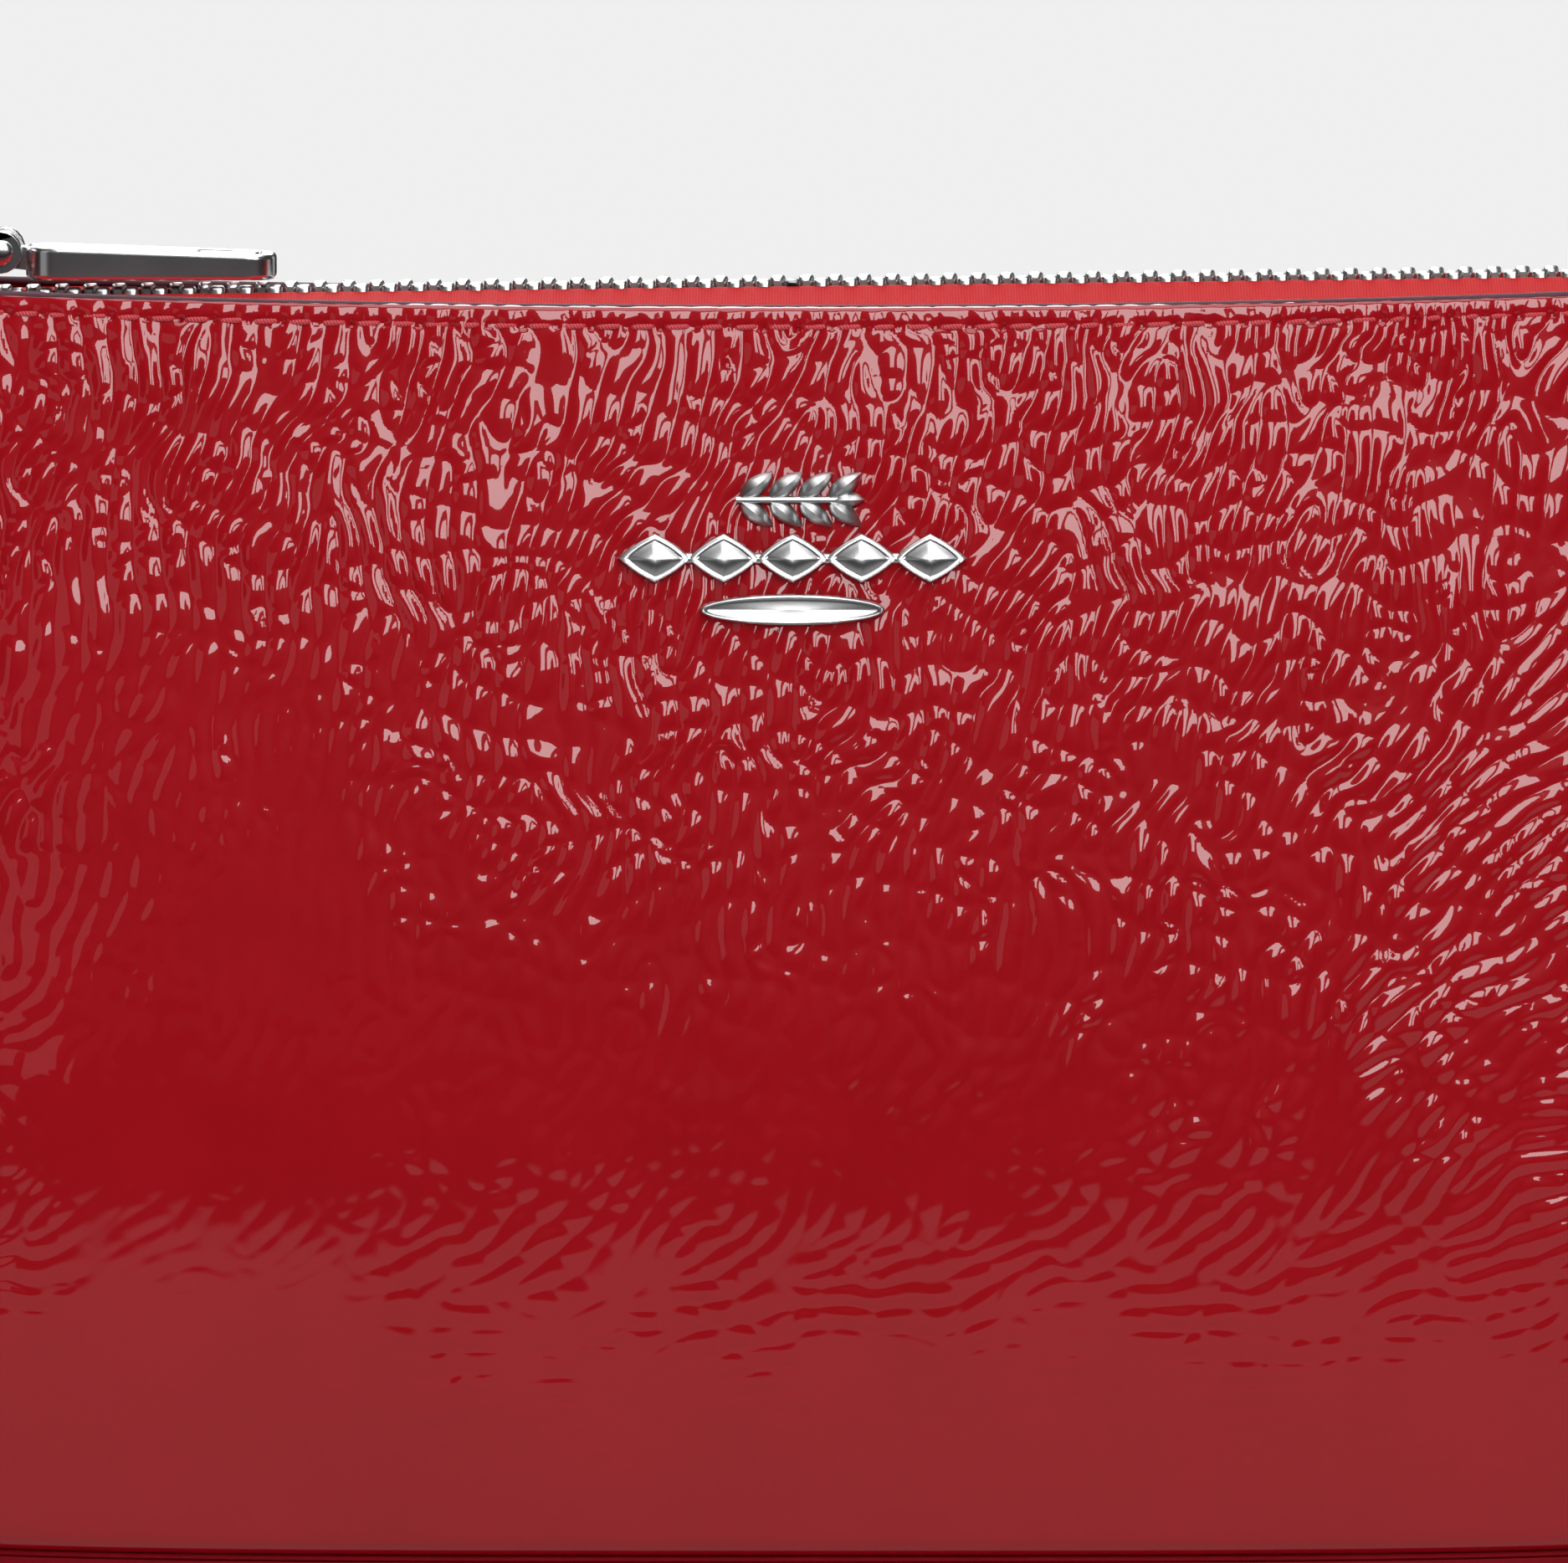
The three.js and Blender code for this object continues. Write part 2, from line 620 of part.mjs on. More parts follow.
// A sprig of leaves that lies along the bar.
function emblemSprig() {
  const half = sprigLength / 2;
  const leafAngle = 0.9;
  const stem = block(-half + 1, half - 1, -0.6, 0, -0.35, 0.35);
  const parts = [stem];
  for (let k = 0; k < 3; k++) {
    const x = (0.28 - 0.28 * k) * sprigLength;
    const length = sprigHeight / 2 / Math.sin(leafAngle);
    parts.push(leaf(length, 0.9, leafAngle).translate(x - 0.8, 0, 0));
    parts.push(leaf(length, 0.9, -leafAngle).translate(x - 0.8, 0, 0));
  }
  parts.push(leaf(2.6, 0.9, 0).translate(half - 2.6, 0, 0));
  return joined(...parts);
}

function emblemPlate() {
  const shape = new THREE.Shape();
  shape.absellipse(0, 0, plateLength / 2, plateHeight / 2, 0, 2 * Math.PI);
  return plaque(shape, emblemThick * 0.8);
}

// ---------------------------------------------------------------- assembly
const pouch = new THREE.Group();

function add(parent, name, geometry, material) {
  const mesh = new THREE.Mesh(geometry, material);
  mesh.name = name;
  parent.add(mesh);
  return mesh;
}

add(pouch, "front_panel", panel(front), patent);
add(pouch, "back_panel", panel(back), patent);
add(pouch, "base_panel", basePlate(gap, 0, baseLeather), baseHide);
add(pouch, "base_stiffener", basePlate(feltInset, panelFoot, panelFoot + boardThick), board);
const baseClothFoot = panelFoot + boardThick + gap;
add(pouch, "base_lining", basePlate(feltInset, baseClothFoot, baseClothFoot + clothThick), twill);

for (const [word, side] of [["front", front], ["back", back]]) {
  add(pouch, word + "_interlining", interlining(side), felt);
  add(pouch, word + "_lining", lining(side), twill);
  add(pouch, word + "_tape_strip", tapeStrip(side), ribbon);
}
add(pouch, "left_seam_tape", seamTape(-1), twill);
add(pouch, "right_seam_tape", seamTape(1), twill);

add(pouch, "slip_pocket", pocket(back, pocketInset, slipPocketHalf, slipPocketTop), twill);
add(pouch, "slip_pocket_binding", pocketBinding(), innerHide);
add(pouch, "inner_patch", innerPatch(), innerHide);
const cardOuterInset = pocketInset + pocketThick + gap;
const cardLayers = [
  ["card_pocket_lower", cardOuterInset, cardPocketDrops[0]],
  ["card_pocket_upper", pocketInset, cardPocketDrops[1]],
];
for (const [name, inset, drop] of cardLayers) {
  add(pouch, name, pocket(front, inset, cardPocketHalf, bodyHeight - drop), twill);
}

function emblemBacking() {
  const low = emblemHeight - backingReach;
  const high = emblemHeight + backingReach;
  return wallPatch(front, feltInset, feltThick, -backingHalf, backingHalf, low, high, 4, 3);
}
add(pouch, "emblem_backing", emblemBacking(), nickel);

for (const [name, geometry, offset] of [
  ["emblem_sprig", emblemSprig(), sprigOffset],
  ["emblem_bar", emblemBar(), barOffset],
  ["emblem_plate", emblemPlate(), plateOffset],
]) {
  const z = emblemHeight + offset;
  const slope = wallDepth(0, z - 1, 0) - wallDepth(0, z + 1, 0);
  const piece = add(pouch, name, geometry, chrome);
  piece.position.set(0, -wallDepth(0, z, 0) - gap, z);
  piece.rotation.x = -Math.atan2(slope, 2);
}

add(pouch, "front_tape", tapeLeaf(front, tapeStart, rowEnd, 18), ribbon);
add(pouch, "back_tape", tapeLeaf(back, tapeStart, rowEnd, 18), ribbon);
add(pouch, "left_tape_end", leftTapeEnd(), ribbon);
add(pouch, "right_tape_end", rightTapeEnd(), ribbon);

const chain = new THREE.Group();
chain.position.z = chainHeight;
chain.rotation.y = -Math.atan(chainTilt);
pouch.add(chain);
add(chain, "front_teeth", toothRow(front, rowStart, rowEnd), nickel);
add(chain, "back_teeth", toothRow(back, rowStart, rowEnd), nickel);
add(chain, "front_chain_end", toothRow(front, closedStart, chainEnd), nickel);
add(chain, "back_chain_end", toothRow(back, closedStart, chainEnd), nickel);
add(chain, "top_stop", topStop(), nickel);
add(chain, "bottom_stop", bottomStop(), nickel);

const slider = new THREE.Group();
slider.position.x = sliderRest;
chain.add(slider);
add(slider, "slider_body", sliderBody(), chrome);
add(slider, "slider_bridge", sliderBridge(), chrome);
add(slider, "pull_link", pullLink(), chrome);
add(slider, "pull_pin", pullPin(), chrome);
add(slider, "pull_tab", pullTab(), chrome);

export default pouch;
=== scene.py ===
"""Looks for the zip-top pouch of crinkled patent leather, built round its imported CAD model.

Lengths are in millimetres until a mesh is made, which is in metres.
"""

import json
import math

import bmesh
import bpy
import numpy as np
from mathutils import Matrix, Vector


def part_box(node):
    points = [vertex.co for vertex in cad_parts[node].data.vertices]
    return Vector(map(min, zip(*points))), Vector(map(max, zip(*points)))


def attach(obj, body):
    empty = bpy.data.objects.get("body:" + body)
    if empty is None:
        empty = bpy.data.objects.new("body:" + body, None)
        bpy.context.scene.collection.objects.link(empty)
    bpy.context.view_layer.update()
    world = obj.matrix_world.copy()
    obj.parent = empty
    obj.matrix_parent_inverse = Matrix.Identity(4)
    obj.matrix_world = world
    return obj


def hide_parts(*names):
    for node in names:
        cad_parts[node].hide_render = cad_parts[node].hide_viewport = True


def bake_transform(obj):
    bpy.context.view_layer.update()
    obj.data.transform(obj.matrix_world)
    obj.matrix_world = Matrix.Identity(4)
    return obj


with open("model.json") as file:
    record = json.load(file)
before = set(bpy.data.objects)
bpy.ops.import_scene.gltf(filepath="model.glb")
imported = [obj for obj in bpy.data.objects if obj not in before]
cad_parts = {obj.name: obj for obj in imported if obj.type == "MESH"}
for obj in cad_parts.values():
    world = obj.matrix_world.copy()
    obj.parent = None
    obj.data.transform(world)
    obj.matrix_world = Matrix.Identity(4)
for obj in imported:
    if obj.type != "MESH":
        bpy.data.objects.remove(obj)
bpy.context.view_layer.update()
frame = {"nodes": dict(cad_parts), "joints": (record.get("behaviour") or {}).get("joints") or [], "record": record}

MM = 0.001
FRONT, BACK = 1, -1


# ------------------------------------------------------------------ sizes, from the frame
def box_mm(node):
    """Lowest and highest corner of a CAD node, in millimetres."""
    low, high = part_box(node)
    return np.array(low) / MM, np.array(high) / MM


def joint(name):
    return next(j for j in frame["joints"] if j["name"] == name)


PANEL_LOW, PANEL_HIGH = box_mm("front_panel")
LENGTH = 2 * round(PANEL_HIGH[0], 1)
DEPTH = 2 * round(-PANEL_LOW[1], 1)
FOOT = PANEL_LOW[2]
HEIGHT = round(PANEL_HIGH[2], 1)
MOUTH_DIP = 1.6
MOUTH_DEPTH = 21.0
BASE_DEPTH = 34.0
BELLY = 0.33
BASE_INSET = 3.0
TOP_INSET = 1.0
SQUARENESS = 3.2
LEATHER = 1.3
LINING_INSET = 2.4
LINING_THICK = 0.6
LINING_DROP = 4.2

SLIDE = Vector(joint("zip_slide")["axis"])
TILT = SLIDE.z / SLIDE.x
TEETH_LOW, TEETH_HIGH = box_mm("front_teeth")
CHAIN_Z = (TEETH_LOW[2] + TEETH_HIGH[2]) / 2 - TILT * (TEETH_LOW[0] + TEETH_HIGH[0]) / 2
CHAIN_TURN = Matrix.Rotation(-math.atan(TILT), 3, "Y")
ROW_START, ROW_END = TEETH_LOW[0], TEETH_HIGH[0]
TAPE_START = box_mm("front_tape")[0][0]
CHAIN_END = box_mm("front_chain_end")[1][0]
TOOTH_PITCH = 2.3
BEAD_Y = 2.55


# ------------------------------------------------------------------ camera
VIEW_ELEVATION = math.radians(6)
VIEW_DISTANCE = 1200.0
VIEW_WIDTH = 124.9  # width of the picture at the front panel
VIEW_TARGET = (-0.67, -12.0, 63.65)
SENSOR = 36.0


def make_camera():
    data = bpy.data.cameras.new("camera")
    data.sensor_width = SENSOR
    data.lens = SENSOR * VIEW_DISTANCE / VIEW_WIDTH
    data.clip_start, data.clip_end = 0.05, 20
    camera = bpy.data.objects.new("camera", data)
    bpy.context.collection.objects.link(camera)
    back = Vector((0, -math.cos(VIEW_ELEVATION), math.sin(VIEW_ELEVATION)))
    camera.location = (Vector(VIEW_TARGET) + back * VIEW_DISTANCE) * MM
    camera.rotation_mode = "QUATERNION"
    camera.rotation_quaternion = (-back).to_track_quat("-Z", "Y")
    bpy.context.scene.camera = camera


make_camera()


# ------------------------------------------------------------------ mesh helpers
SHARP_ANGLE = math.radians(55)


def make_object(name, verts, faces, material):
    """A smooth-shaded object from points in millimetres and a list of faces."""
    mesh = bpy.data.meshes.new(name)
    mesh.from_pydata((np.asarray(verts, float) * MM).tolist(), [], faces)
    mesh.update()
    mesh.shade_smooth()
    mesh.set_sharp_from_angle(angle=SHARP_ANGLE)
    mesh.materials.append(material)
    obj = bpy.data.objects.new(name, mesh)
    bpy.context.collection.objects.link(obj)
    return obj


def loft(rings, closed=True, cap=True):
    """Vertices and faces of a tube through rings, an array of stations x points x 3."""
    count, size = rings.shape[:2]
    verts = rings.reshape(-1, 3)
    i, j = np.meshgrid(np.arange(count - 1), np.arange(size if closed else size - 1), indexing="ij")
    a, b = i * size + j, i * size + (j + 1) % size
    faces = np.stack([a, b, b + size, a + size], axis=-1).reshape(-1, 4)
    faces = faces.tolist()
    if closed and cap:
        faces.append(list(range(size))[::-1])
        faces.append([(count - 1) * size + k for k in range(size)])
    return verts, faces


def outward(obj):
    """Turns the faces of a closed mesh outwards."""
    mesh = bmesh.new()
    mesh.from_mesh(obj.data)
    bmesh.ops.recalc_face_normals(mesh, faces=mesh.faces)
    mesh.to_mesh(obj.data)
    mesh.free()
    return obj


def applied(obj):
    """Makes an object's modifiers part of its mesh."""
    graph = bpy.context.evaluated_depsgraph_get()
    mesh = bpy.data.meshes.new_from_object(obj.evaluated_get(graph))
    obj.modifiers.clear()
    obj.data = mesh
    return obj


def bevelled(obj, width, segments, angle):
    """Rounds a mesh's edges that are sharper than an angle, and evens its shading."""
    bevel = obj.modifiers.new("bevel", "BEVEL")
    bevel.width = width * MM
    bevel.segments = segments
    bevel.limit_method = "ANGLE"
    bevel.angle_limit = math.radians(angle)
    bevel.use_clamp_overlap = True
    bevel.harden_normals = False
    applied(obj)
    obj.data.shade_smooth()
    smooth = obj.modifiers.new("normals", "WEIGHTED_NORMAL")
    smooth.keep_sharp = True
    return applied(obj)


def merged(name, parts, material):
    """One object from a list of (verts, faces)."""
    verts, faces, start = [], [], 0
    for part_verts, part_faces in parts:
        verts.append(np.asarray(part_verts, float))
        faces += [[k + start for k in face] for face in part_faces]
        start += len(part_verts)
    return make_object(name, np.concatenate(verts), faces, material)


def place(obj, body, slot, *nodes):
    """Rides a piece on its body, and hides the CAD nodes that it stands for."""
    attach(obj, body)
    if nodes:
        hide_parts(*nodes)
    return obj


# ------------------------------------------------------------------ material helpers
class Shader:
    """A Principled material, with short calls for the nodes that feed it."""

    def __init__(self, name, colour, roughness, metallic=0.0, **sockets):
        self.material = bpy.data.materials.new(name)
        self.material.use_nodes = True
        self.tree = self.material.node_tree
        self.main = self.tree.nodes["Principled BSDF"]
        self.set("Base Color", (*colour, 1))
        self.set("Roughness", roughness)
        self.set("Metallic", metallic)
        for socket, value in sockets.items():
            self.set(socket.replace("_", " "), value)
        self.place = self.node("ShaderNodeTexCoord").outputs["Object"]

    def set(self, socket, value):
        self.main.inputs[socket].default_value = value

    def node(self, kind, inputs=None, **settings):
        made = self.tree.nodes.new(kind)
        for key, value in settings.items():
            setattr(made, key, value)
        for key, value in (inputs or {}).items():
            if isinstance(value, bpy.types.NodeSocket):
                self.tree.links.new(value, made.inputs[key])
            else:
                made.inputs[key].default_value = value
        return made

    def noise(self, scale, detail=3.0, rough=0.5, stretch=(1, 1, 1)):
        vector = self.node("ShaderNodeMapping", {"Vector": self.place, "Scale": stretch})
        inputs = {"Vector": vector.outputs[0], "Scale": scale, "Detail": detail, "Roughness": rough}
        return self.node("ShaderNodeTexNoise", inputs).outputs["Fac"]

    def wave(self, scale, direction, distortion=0.0, stretch=(1, 1, 1), turn=(0, 0, 0)):
        inputs = {"Vector": self.place, "Scale": stretch, "Rotation": turn}
        vector = self.node("ShaderNodeMapping", inputs)
        inputs = {"Vector": vector.outputs[0], "Scale": scale, "Distortion": distortion}
        inputs.update({"Detail": 1.0, "Detail Scale": 2.0})
        return self.node("ShaderNodeTexWave", inputs, bands_direction=direction).outputs["Fac"]

    def math(self, operation, a, b=0.0):
        made = self.node("ShaderNodeMath", {0: a, 1: b}, operation=operation)
        return made.outputs[0]

    def spread(self, value, low, high, from_low=0.0, from_high=1.0):
        """A value from 0 to 1 spread over another range."""
        inputs = {"Value": value, "From Min": from_low, "From Max": from_high}
        inputs.update({"To Min": low, "To Max": high})
        return self.node("ShaderNodeMapRange", inputs).outputs["Result"]

    def colour(self, value, dark, light):
        ramp = self.node("ShaderNodeValToRGB", {"Fac": value})
        ramp.color_ramp.elements[0].color = (*dark, 1)
        ramp.color_ramp.elements[1].color = (*light, 1)
        self.tree.links.new(ramp.outputs["Color"], self.main.inputs["Base Color"])
        return self

    def roughness(self, value, low, high):
        self.tree.links.new(self.spread(value, low, high), self.main.inputs["Roughness"])
        return self

    def bump(self, value, height_mm, strength=1.0):
        inputs = {"Height": value, "Distance": height_mm * MM, "Strength": strength}
        made = self.node("ShaderNodeBump", inputs)
        self.tree.links.new(made.outputs["Normal"], self.main.inputs["Normal"])
        return self


def patent_leather(name):
    """Lacquered leather: a deep red under a clear, nearly mirror-like coat."""
    shader = Shader(name, (0.27, 0.001, 0.006), 0.36, Coat_Weight=1.0, Coat_Roughness=0.03)
    shader.set("Coat IOR", 1.5)
    shader.set("Specular IOR Level", 0.06)
    cloud = shader.noise(90, 4.0)
    shader.colour(cloud, (0.185, 0.0003, 0.0026), (0.215, 0.0006, 0.0042))
    pores = shader.noise(1500, 2.0)
    shader.bump(pores, 0.004, 0.4)
    return shader.material


def edge_paint():
    """Semi-gloss paint on a cut leather edge."""
    shader = Shader("edge_paint", (0.09, 0.03, 0.04), 0.6)
    shader.set("Specular IOR Level", 0.12)
    spots = shader.noise(700, 4.0)
    shader.colour(spots, (0.04, 0.014, 0.022), (0.08, 0.035, 0.045)).roughness(spots, 0.6, 0.85)
    return shader.bump(shader.noise(1800, 3.0), 0.03).material


def base_leather():
    shader = Shader("base_leather", (0.12, 0.001, 0.004), 0.6)
    shader.set("Specular IOR Level", 0.05)
    cells = shader.node("ShaderNodeTexVoronoi", {"Vector": shader.place, "Scale": 900.0})
    shader.colour(shader.noise(120, 4.0), (0.10, 0.0006, 0.003), (0.15, 0.0015, 0.005))
    return shader.bump(cells.outputs["Distance"], 0.06).material


def inner_leather():
    shader = Shader("inner_leather", (0.25, 0.01, 0.015), 0.5)
    cells = shader.node("ShaderNodeTexVoronoi", {"Vector": shader.place, "Scale": 1400.0})
    shader.colour(shader.noise(200, 4.0), (0.20, 0.006, 0.010), (0.30, 0.014, 0.02))
    return shader.bump(cells.outputs["Distance"], 0.05).material


def twill():
    """Lining cloth with a diagonal rib."""
    shader = Shader("twill", (0.16, 0.006, 0.012), 0.85, Sheen_Weight=0.3)
    ribs = shader.wave(1500, "X", 0.3, turn=(0, math.radians(45), 0))
    fuzz = shader.noise(2500, 3.0)
    shader.colour(shader.math("MULTIPLY", ribs, fuzz), (0.10, 0.003, 0.007), (0.30, 0.02, 0.03))
    return shader.bump(ribs, 0.08, 0.8).material


def woven_tape():
    """Zip tape: fine lengthwise cords crossed by the weft."""
    shader = Shader("woven_tape", (0.5, 0.015, 0.015), 0.85)
    shader.set("Specular IOR Level", 0.1)
    along = shader.wave(1050, "Y", 0.25)
    across = shader.wave(1350, "X", 0.25)
    weave = shader.math("MULTIPLY", along, across)
    shader.colour(weave, (0.30, 0.010, 0.012), (0.44, 0.024, 0.024))
    return shader.bump(shader.math("ADD", along, across), 0.05, 0.7).material


def thread():
    shader = Shader("thread", (0.35, 0.01, 0.02), 0.5, Sheen_Weight=0.2)
    twist = shader.wave(1400, "X", 0.2, turn=(0, math.radians(35), 0))
    shader.colour(twist, (0.22, 0.004, 0.010), (0.50, 0.02, 0.03))
    return shader.bump(twist, 0.05).material


def felt():
    shader = Shader("felt", (0.7, 0.66, 0.58), 0.95)
    fibres = shader.noise(1200, 6.0, 0.7)
    shader.colour(fibres, (0.55, 0.5, 0.42), (0.8, 0.77, 0.7))
    return shader.bump(fibres, 0.15).material


def fibreboard():
    shader = Shader("fibreboard", (0.4, 0.28, 0.17), 0.9)
    fibres = shader.noise(500, 6.0, 0.7, (1, 4, 1))
    shader.colour(fibres, (0.28, 0.18, 0.10), (0.5, 0.37, 0.24))
    return shader.bump(fibres, 0.08).material


def metal(name, colour, roughness, wear=0.05):
    """Polished plated metal with faint smudges and hairlines."""
    shader = Shader(name, colour, roughness, 1.0)
    smudge = shader.noise(160, 4.0)
    shader.roughness(smudge, roughness, roughness + wear)
    dark = tuple(0.93 * c for c in colour)
    shader.colour(smudge, dark, colour)
    return shader.bump(shader.noise(900, 2.0, 0.5, (1, 6, 1)), 0.002, 0.5).material


LEATHER_LOOK = patent_leather("patent_leather")
PAINT = edge_paint()
BASE_LOOK = base_leather()
INNER_LOOK = inner_leather()
TWILL = twill()
TAPE_LOOK = woven_tape()
THREAD = thread()
NICKEL = metal("nickel", (0.50, 0.50, 0.495), 0.26, 0.12)
CHROME = metal("chrome", (0.80, 0.80, 0.81), 0.2)
SILVER = metal("silver", (0.58, 0.58, 0.585), 0.3)
STEEL = metal("steel", (0.55, 0.55, 0.55), 0.35, 0.1)
SLOT_LOOKS = {
    "patent_leather": LEATHER_LOOK,
    "base_leather": BASE_LOOK,
    "lining": TWILL,
    "interlining": felt(),
    "board": fibreboard(),
    "inner_leather": INNER_LOOK,
    "zip_tape": TAPE_LOOK,
    "zip_metal": NICKEL,
    "trim_metal": CHROME,
    "backing_metal": STEEL,
}


def dress_cad_nodes():
    """Gives each CAD node the material of its slot."""
    for part in frame["record"]["subparts"]:
        data = frame["nodes"][part["node"]].data
        data.materials.clear()
        data.materials.append(SLOT_LOOKS[part["material_slot"]])


dress_cad_nodes()


# ------------------------------------------------------------------ the body's form
def half_size(share, belly, base, top, climb_power=1.6):
    """Half-width of the body at a share of its height: full at the belly, less at both ends."""
    share = np.asarray(share, float)
    rise = np.sin(np.pi / 2 * np.clip(share, 0, BELLY) / BELLY)
    climb = np.clip((share - BELLY) / (1 - BELLY), 0, None)
    low = base + (belly - base) * rise
    high = belly + (top - belly) * climb**climb_power
    return np.where(share < BELLY, low, high)


def half_depth(share):
    return half_size(share, DEPTH / 2, BASE_DEPTH / 2, MOUTH_DEPTH / 2)


def half_length(share):
    belly = LENGTH / 2
    return half_size(share, belly, belly - BASE_INSET, belly - TOP_INSET)


def top_edge(x):
    return HEIGHT - MOUTH_DIP * (1 - (2 * np.asarray(x) / LENGTH) ** 2)


def share_at(z):
    return (np.asarray(z, float) - FOOT) / (HEIGHT - FOOT)


SEAM_SLIT = 0.06  # half the slit between the panels at each end


def wall_points(turn, z, inset, side, seam=SEAM_SLIT):
    """Points of a wall layer. turn runs from 0 to 1 between the side seams."""
    a = half_length(share_at(z)) - inset
    b = half_depth(share_at(z)) - inset
    c, s = np.cos(np.pi * turn), np.abs(np.sin(np.pi * turn))
    x = -a * np.sign(c) * np.abs(c) ** (2 / SQUARENESS)
    y = -side * (seam + (b - seam) * s ** (2 / SQUARENESS))
    return np.stack(np.broadcast_arrays(x, y, z), axis=-1)


def wall_depth(x, z, inset=0.0):
    """Distance of a wall layer from the mid plane."""
    a = half_length(share_at(z)) - inset
    b = half_depth(share_at(z)) - inset
    return b * np.clip(1 - np.abs(x / a) ** SQUARENESS, 0, None) ** (1 / SQUARENESS)


def even_turns(spacing, inset=0.0):
    """Turns that are evenly spaced along the wall at the belly, and their distances."""
    fine = np.linspace(0, 1, 20001)
    path = wall_points(fine, np.full_like(fine, FOOT + BELLY * (HEIGHT - FOOT)), inset, FRONT)
    step = np.linalg.norm(np.diff(path, axis=0), axis=1)
    distance = np.concatenate([[0], np.cumsum(step)])
    count = int(distance[-1] / spacing) + 1
    wanted = np.linspace(0, distance[-1], count)
    return np.interp(wanted, distance, fine), wanted


def round_in(distance, radius):
    """How far a rounded edge has turned in at a distance from the edge."""
    d = np.clip(distance, 0, radius)
    return radius - np.sqrt(np.clip(radius**2 - (radius - d) ** 2, 0, None))


# ------------------------------------------------------------------ crinkle
def smooth_noise(shape, pitch, size, rng):
    """Gaussian noise with features of about `size` millimetres, with unit variance."""
    fx = np.fft.fftfreq(shape[0], pitch)[:, None]
    fz = np.fft.rfftfreq(shape[1], pitch)[None, :]
    keep = np.exp(-(fx**2 + fz**2) * (size**2) * 2)
    field = np.fft.irfft2(np.fft.rfft2(rng.standard_normal(shape)) * keep, s=shape)
    return (field - field.mean()) / field.std()


def wave_field(direction, pitch, wavelength, rng, spread, band):
    """Complex waves that run along `direction`, in degrees from +X: their phase gives ridges."""
    shape = direction.shape
    fx = np.fft.fftfreq(shape[0], pitch)[:, None]
    fz = np.fft.fftfreq(shape[1], pitch)[None, :]
    radius = np.hypot(fx, fz)
    radius[0, 0] = 1e-9
    ring = np.exp(-(np.log(radius * wavelength) ** 2) / (2 * band**2))
    heading = np.degrees(np.arctan2(fz, fx))
    source = np.fft.fft2(rng.standard_normal(shape)) * ring
    total = np.zeros(shape, complex)
    step = 15.0
    first = math.floor(direction.min() / step) * step
    for angle in np.arange(first, direction.max() + step, step):
        away = (heading - (angle - 90) + 180) % 360 - 180
        field = np.fft.ifft2(source * np.exp(-(away**2) / (2 * spread**2)))
        share = np.exp(-((direction - angle) ** 2) / (2 * (0.7 * step) ** 2))
        total += field / np.sqrt(np.mean(np.abs(field) ** 2)) * share
    return total / np.sqrt(np.mean(np.abs(total) ** 2))


def crests(waves, valley):
    """Round crests between narrow valleys, from 0 to 1, whatever the waves' strength."""
    return np.sqrt((waves.real / (np.abs(waves) + 1e-9)) ** 2 + valley)


def above(value, start, over):
    """0 below start, rising to 1 over a stretch above it."""
    return np.clip((value - start) / over, 0, 1)


def below(value, start, over):
    """0 above start, rising to 1 over a stretch below it."""
    return np.clip((start - value) / over, 0, 1)


RIDGE_WAVE = 4.3  # wavelength of the field, twice the distance between ridges
RIDGE_HEIGHT = 0.30
BREAK_WAVE = 7.0  # the same for the breaks along a ridge
BREAK_DEPTH = 0.72
SWELL = 0.02
UPRIGHT, DRIFT = 80.0, 8.0  # ridges' mean direction from +X, and how far it wanders, in degrees
LYING_TURN = 56.0  # how far ridges lie down in the lower right
LYING_X, LYING_Z = (38.0, 20.0), (80.0, 14.0)  # where that starts, and the stretch it grows over
LEVEL_TURN, LEVEL_Z = 5.0, (34.0, 12.0)  # direction near the foot, and where it takes over
CALM_Z, CALM_SLOPE, CALM_SHARE = 60.0, 0.4, 0.35  # calmer below a line that falls to the right
CALM_REACH, CALM_OVER = 22.0, 24.0
FOOT_Z, FOOT_SHARE = (4.0, 16.0), 0.08  # nearly smooth at the foot
LEFT_CALM_X, LEFT_CALM_Z, LEFT_CALM = (-28.0, 10.0), (84.0, 14.0), 0.62  # calm lower left
LEFT_EDGE_X = (-62.0, 6.0)  # beyond this the crinkle is back


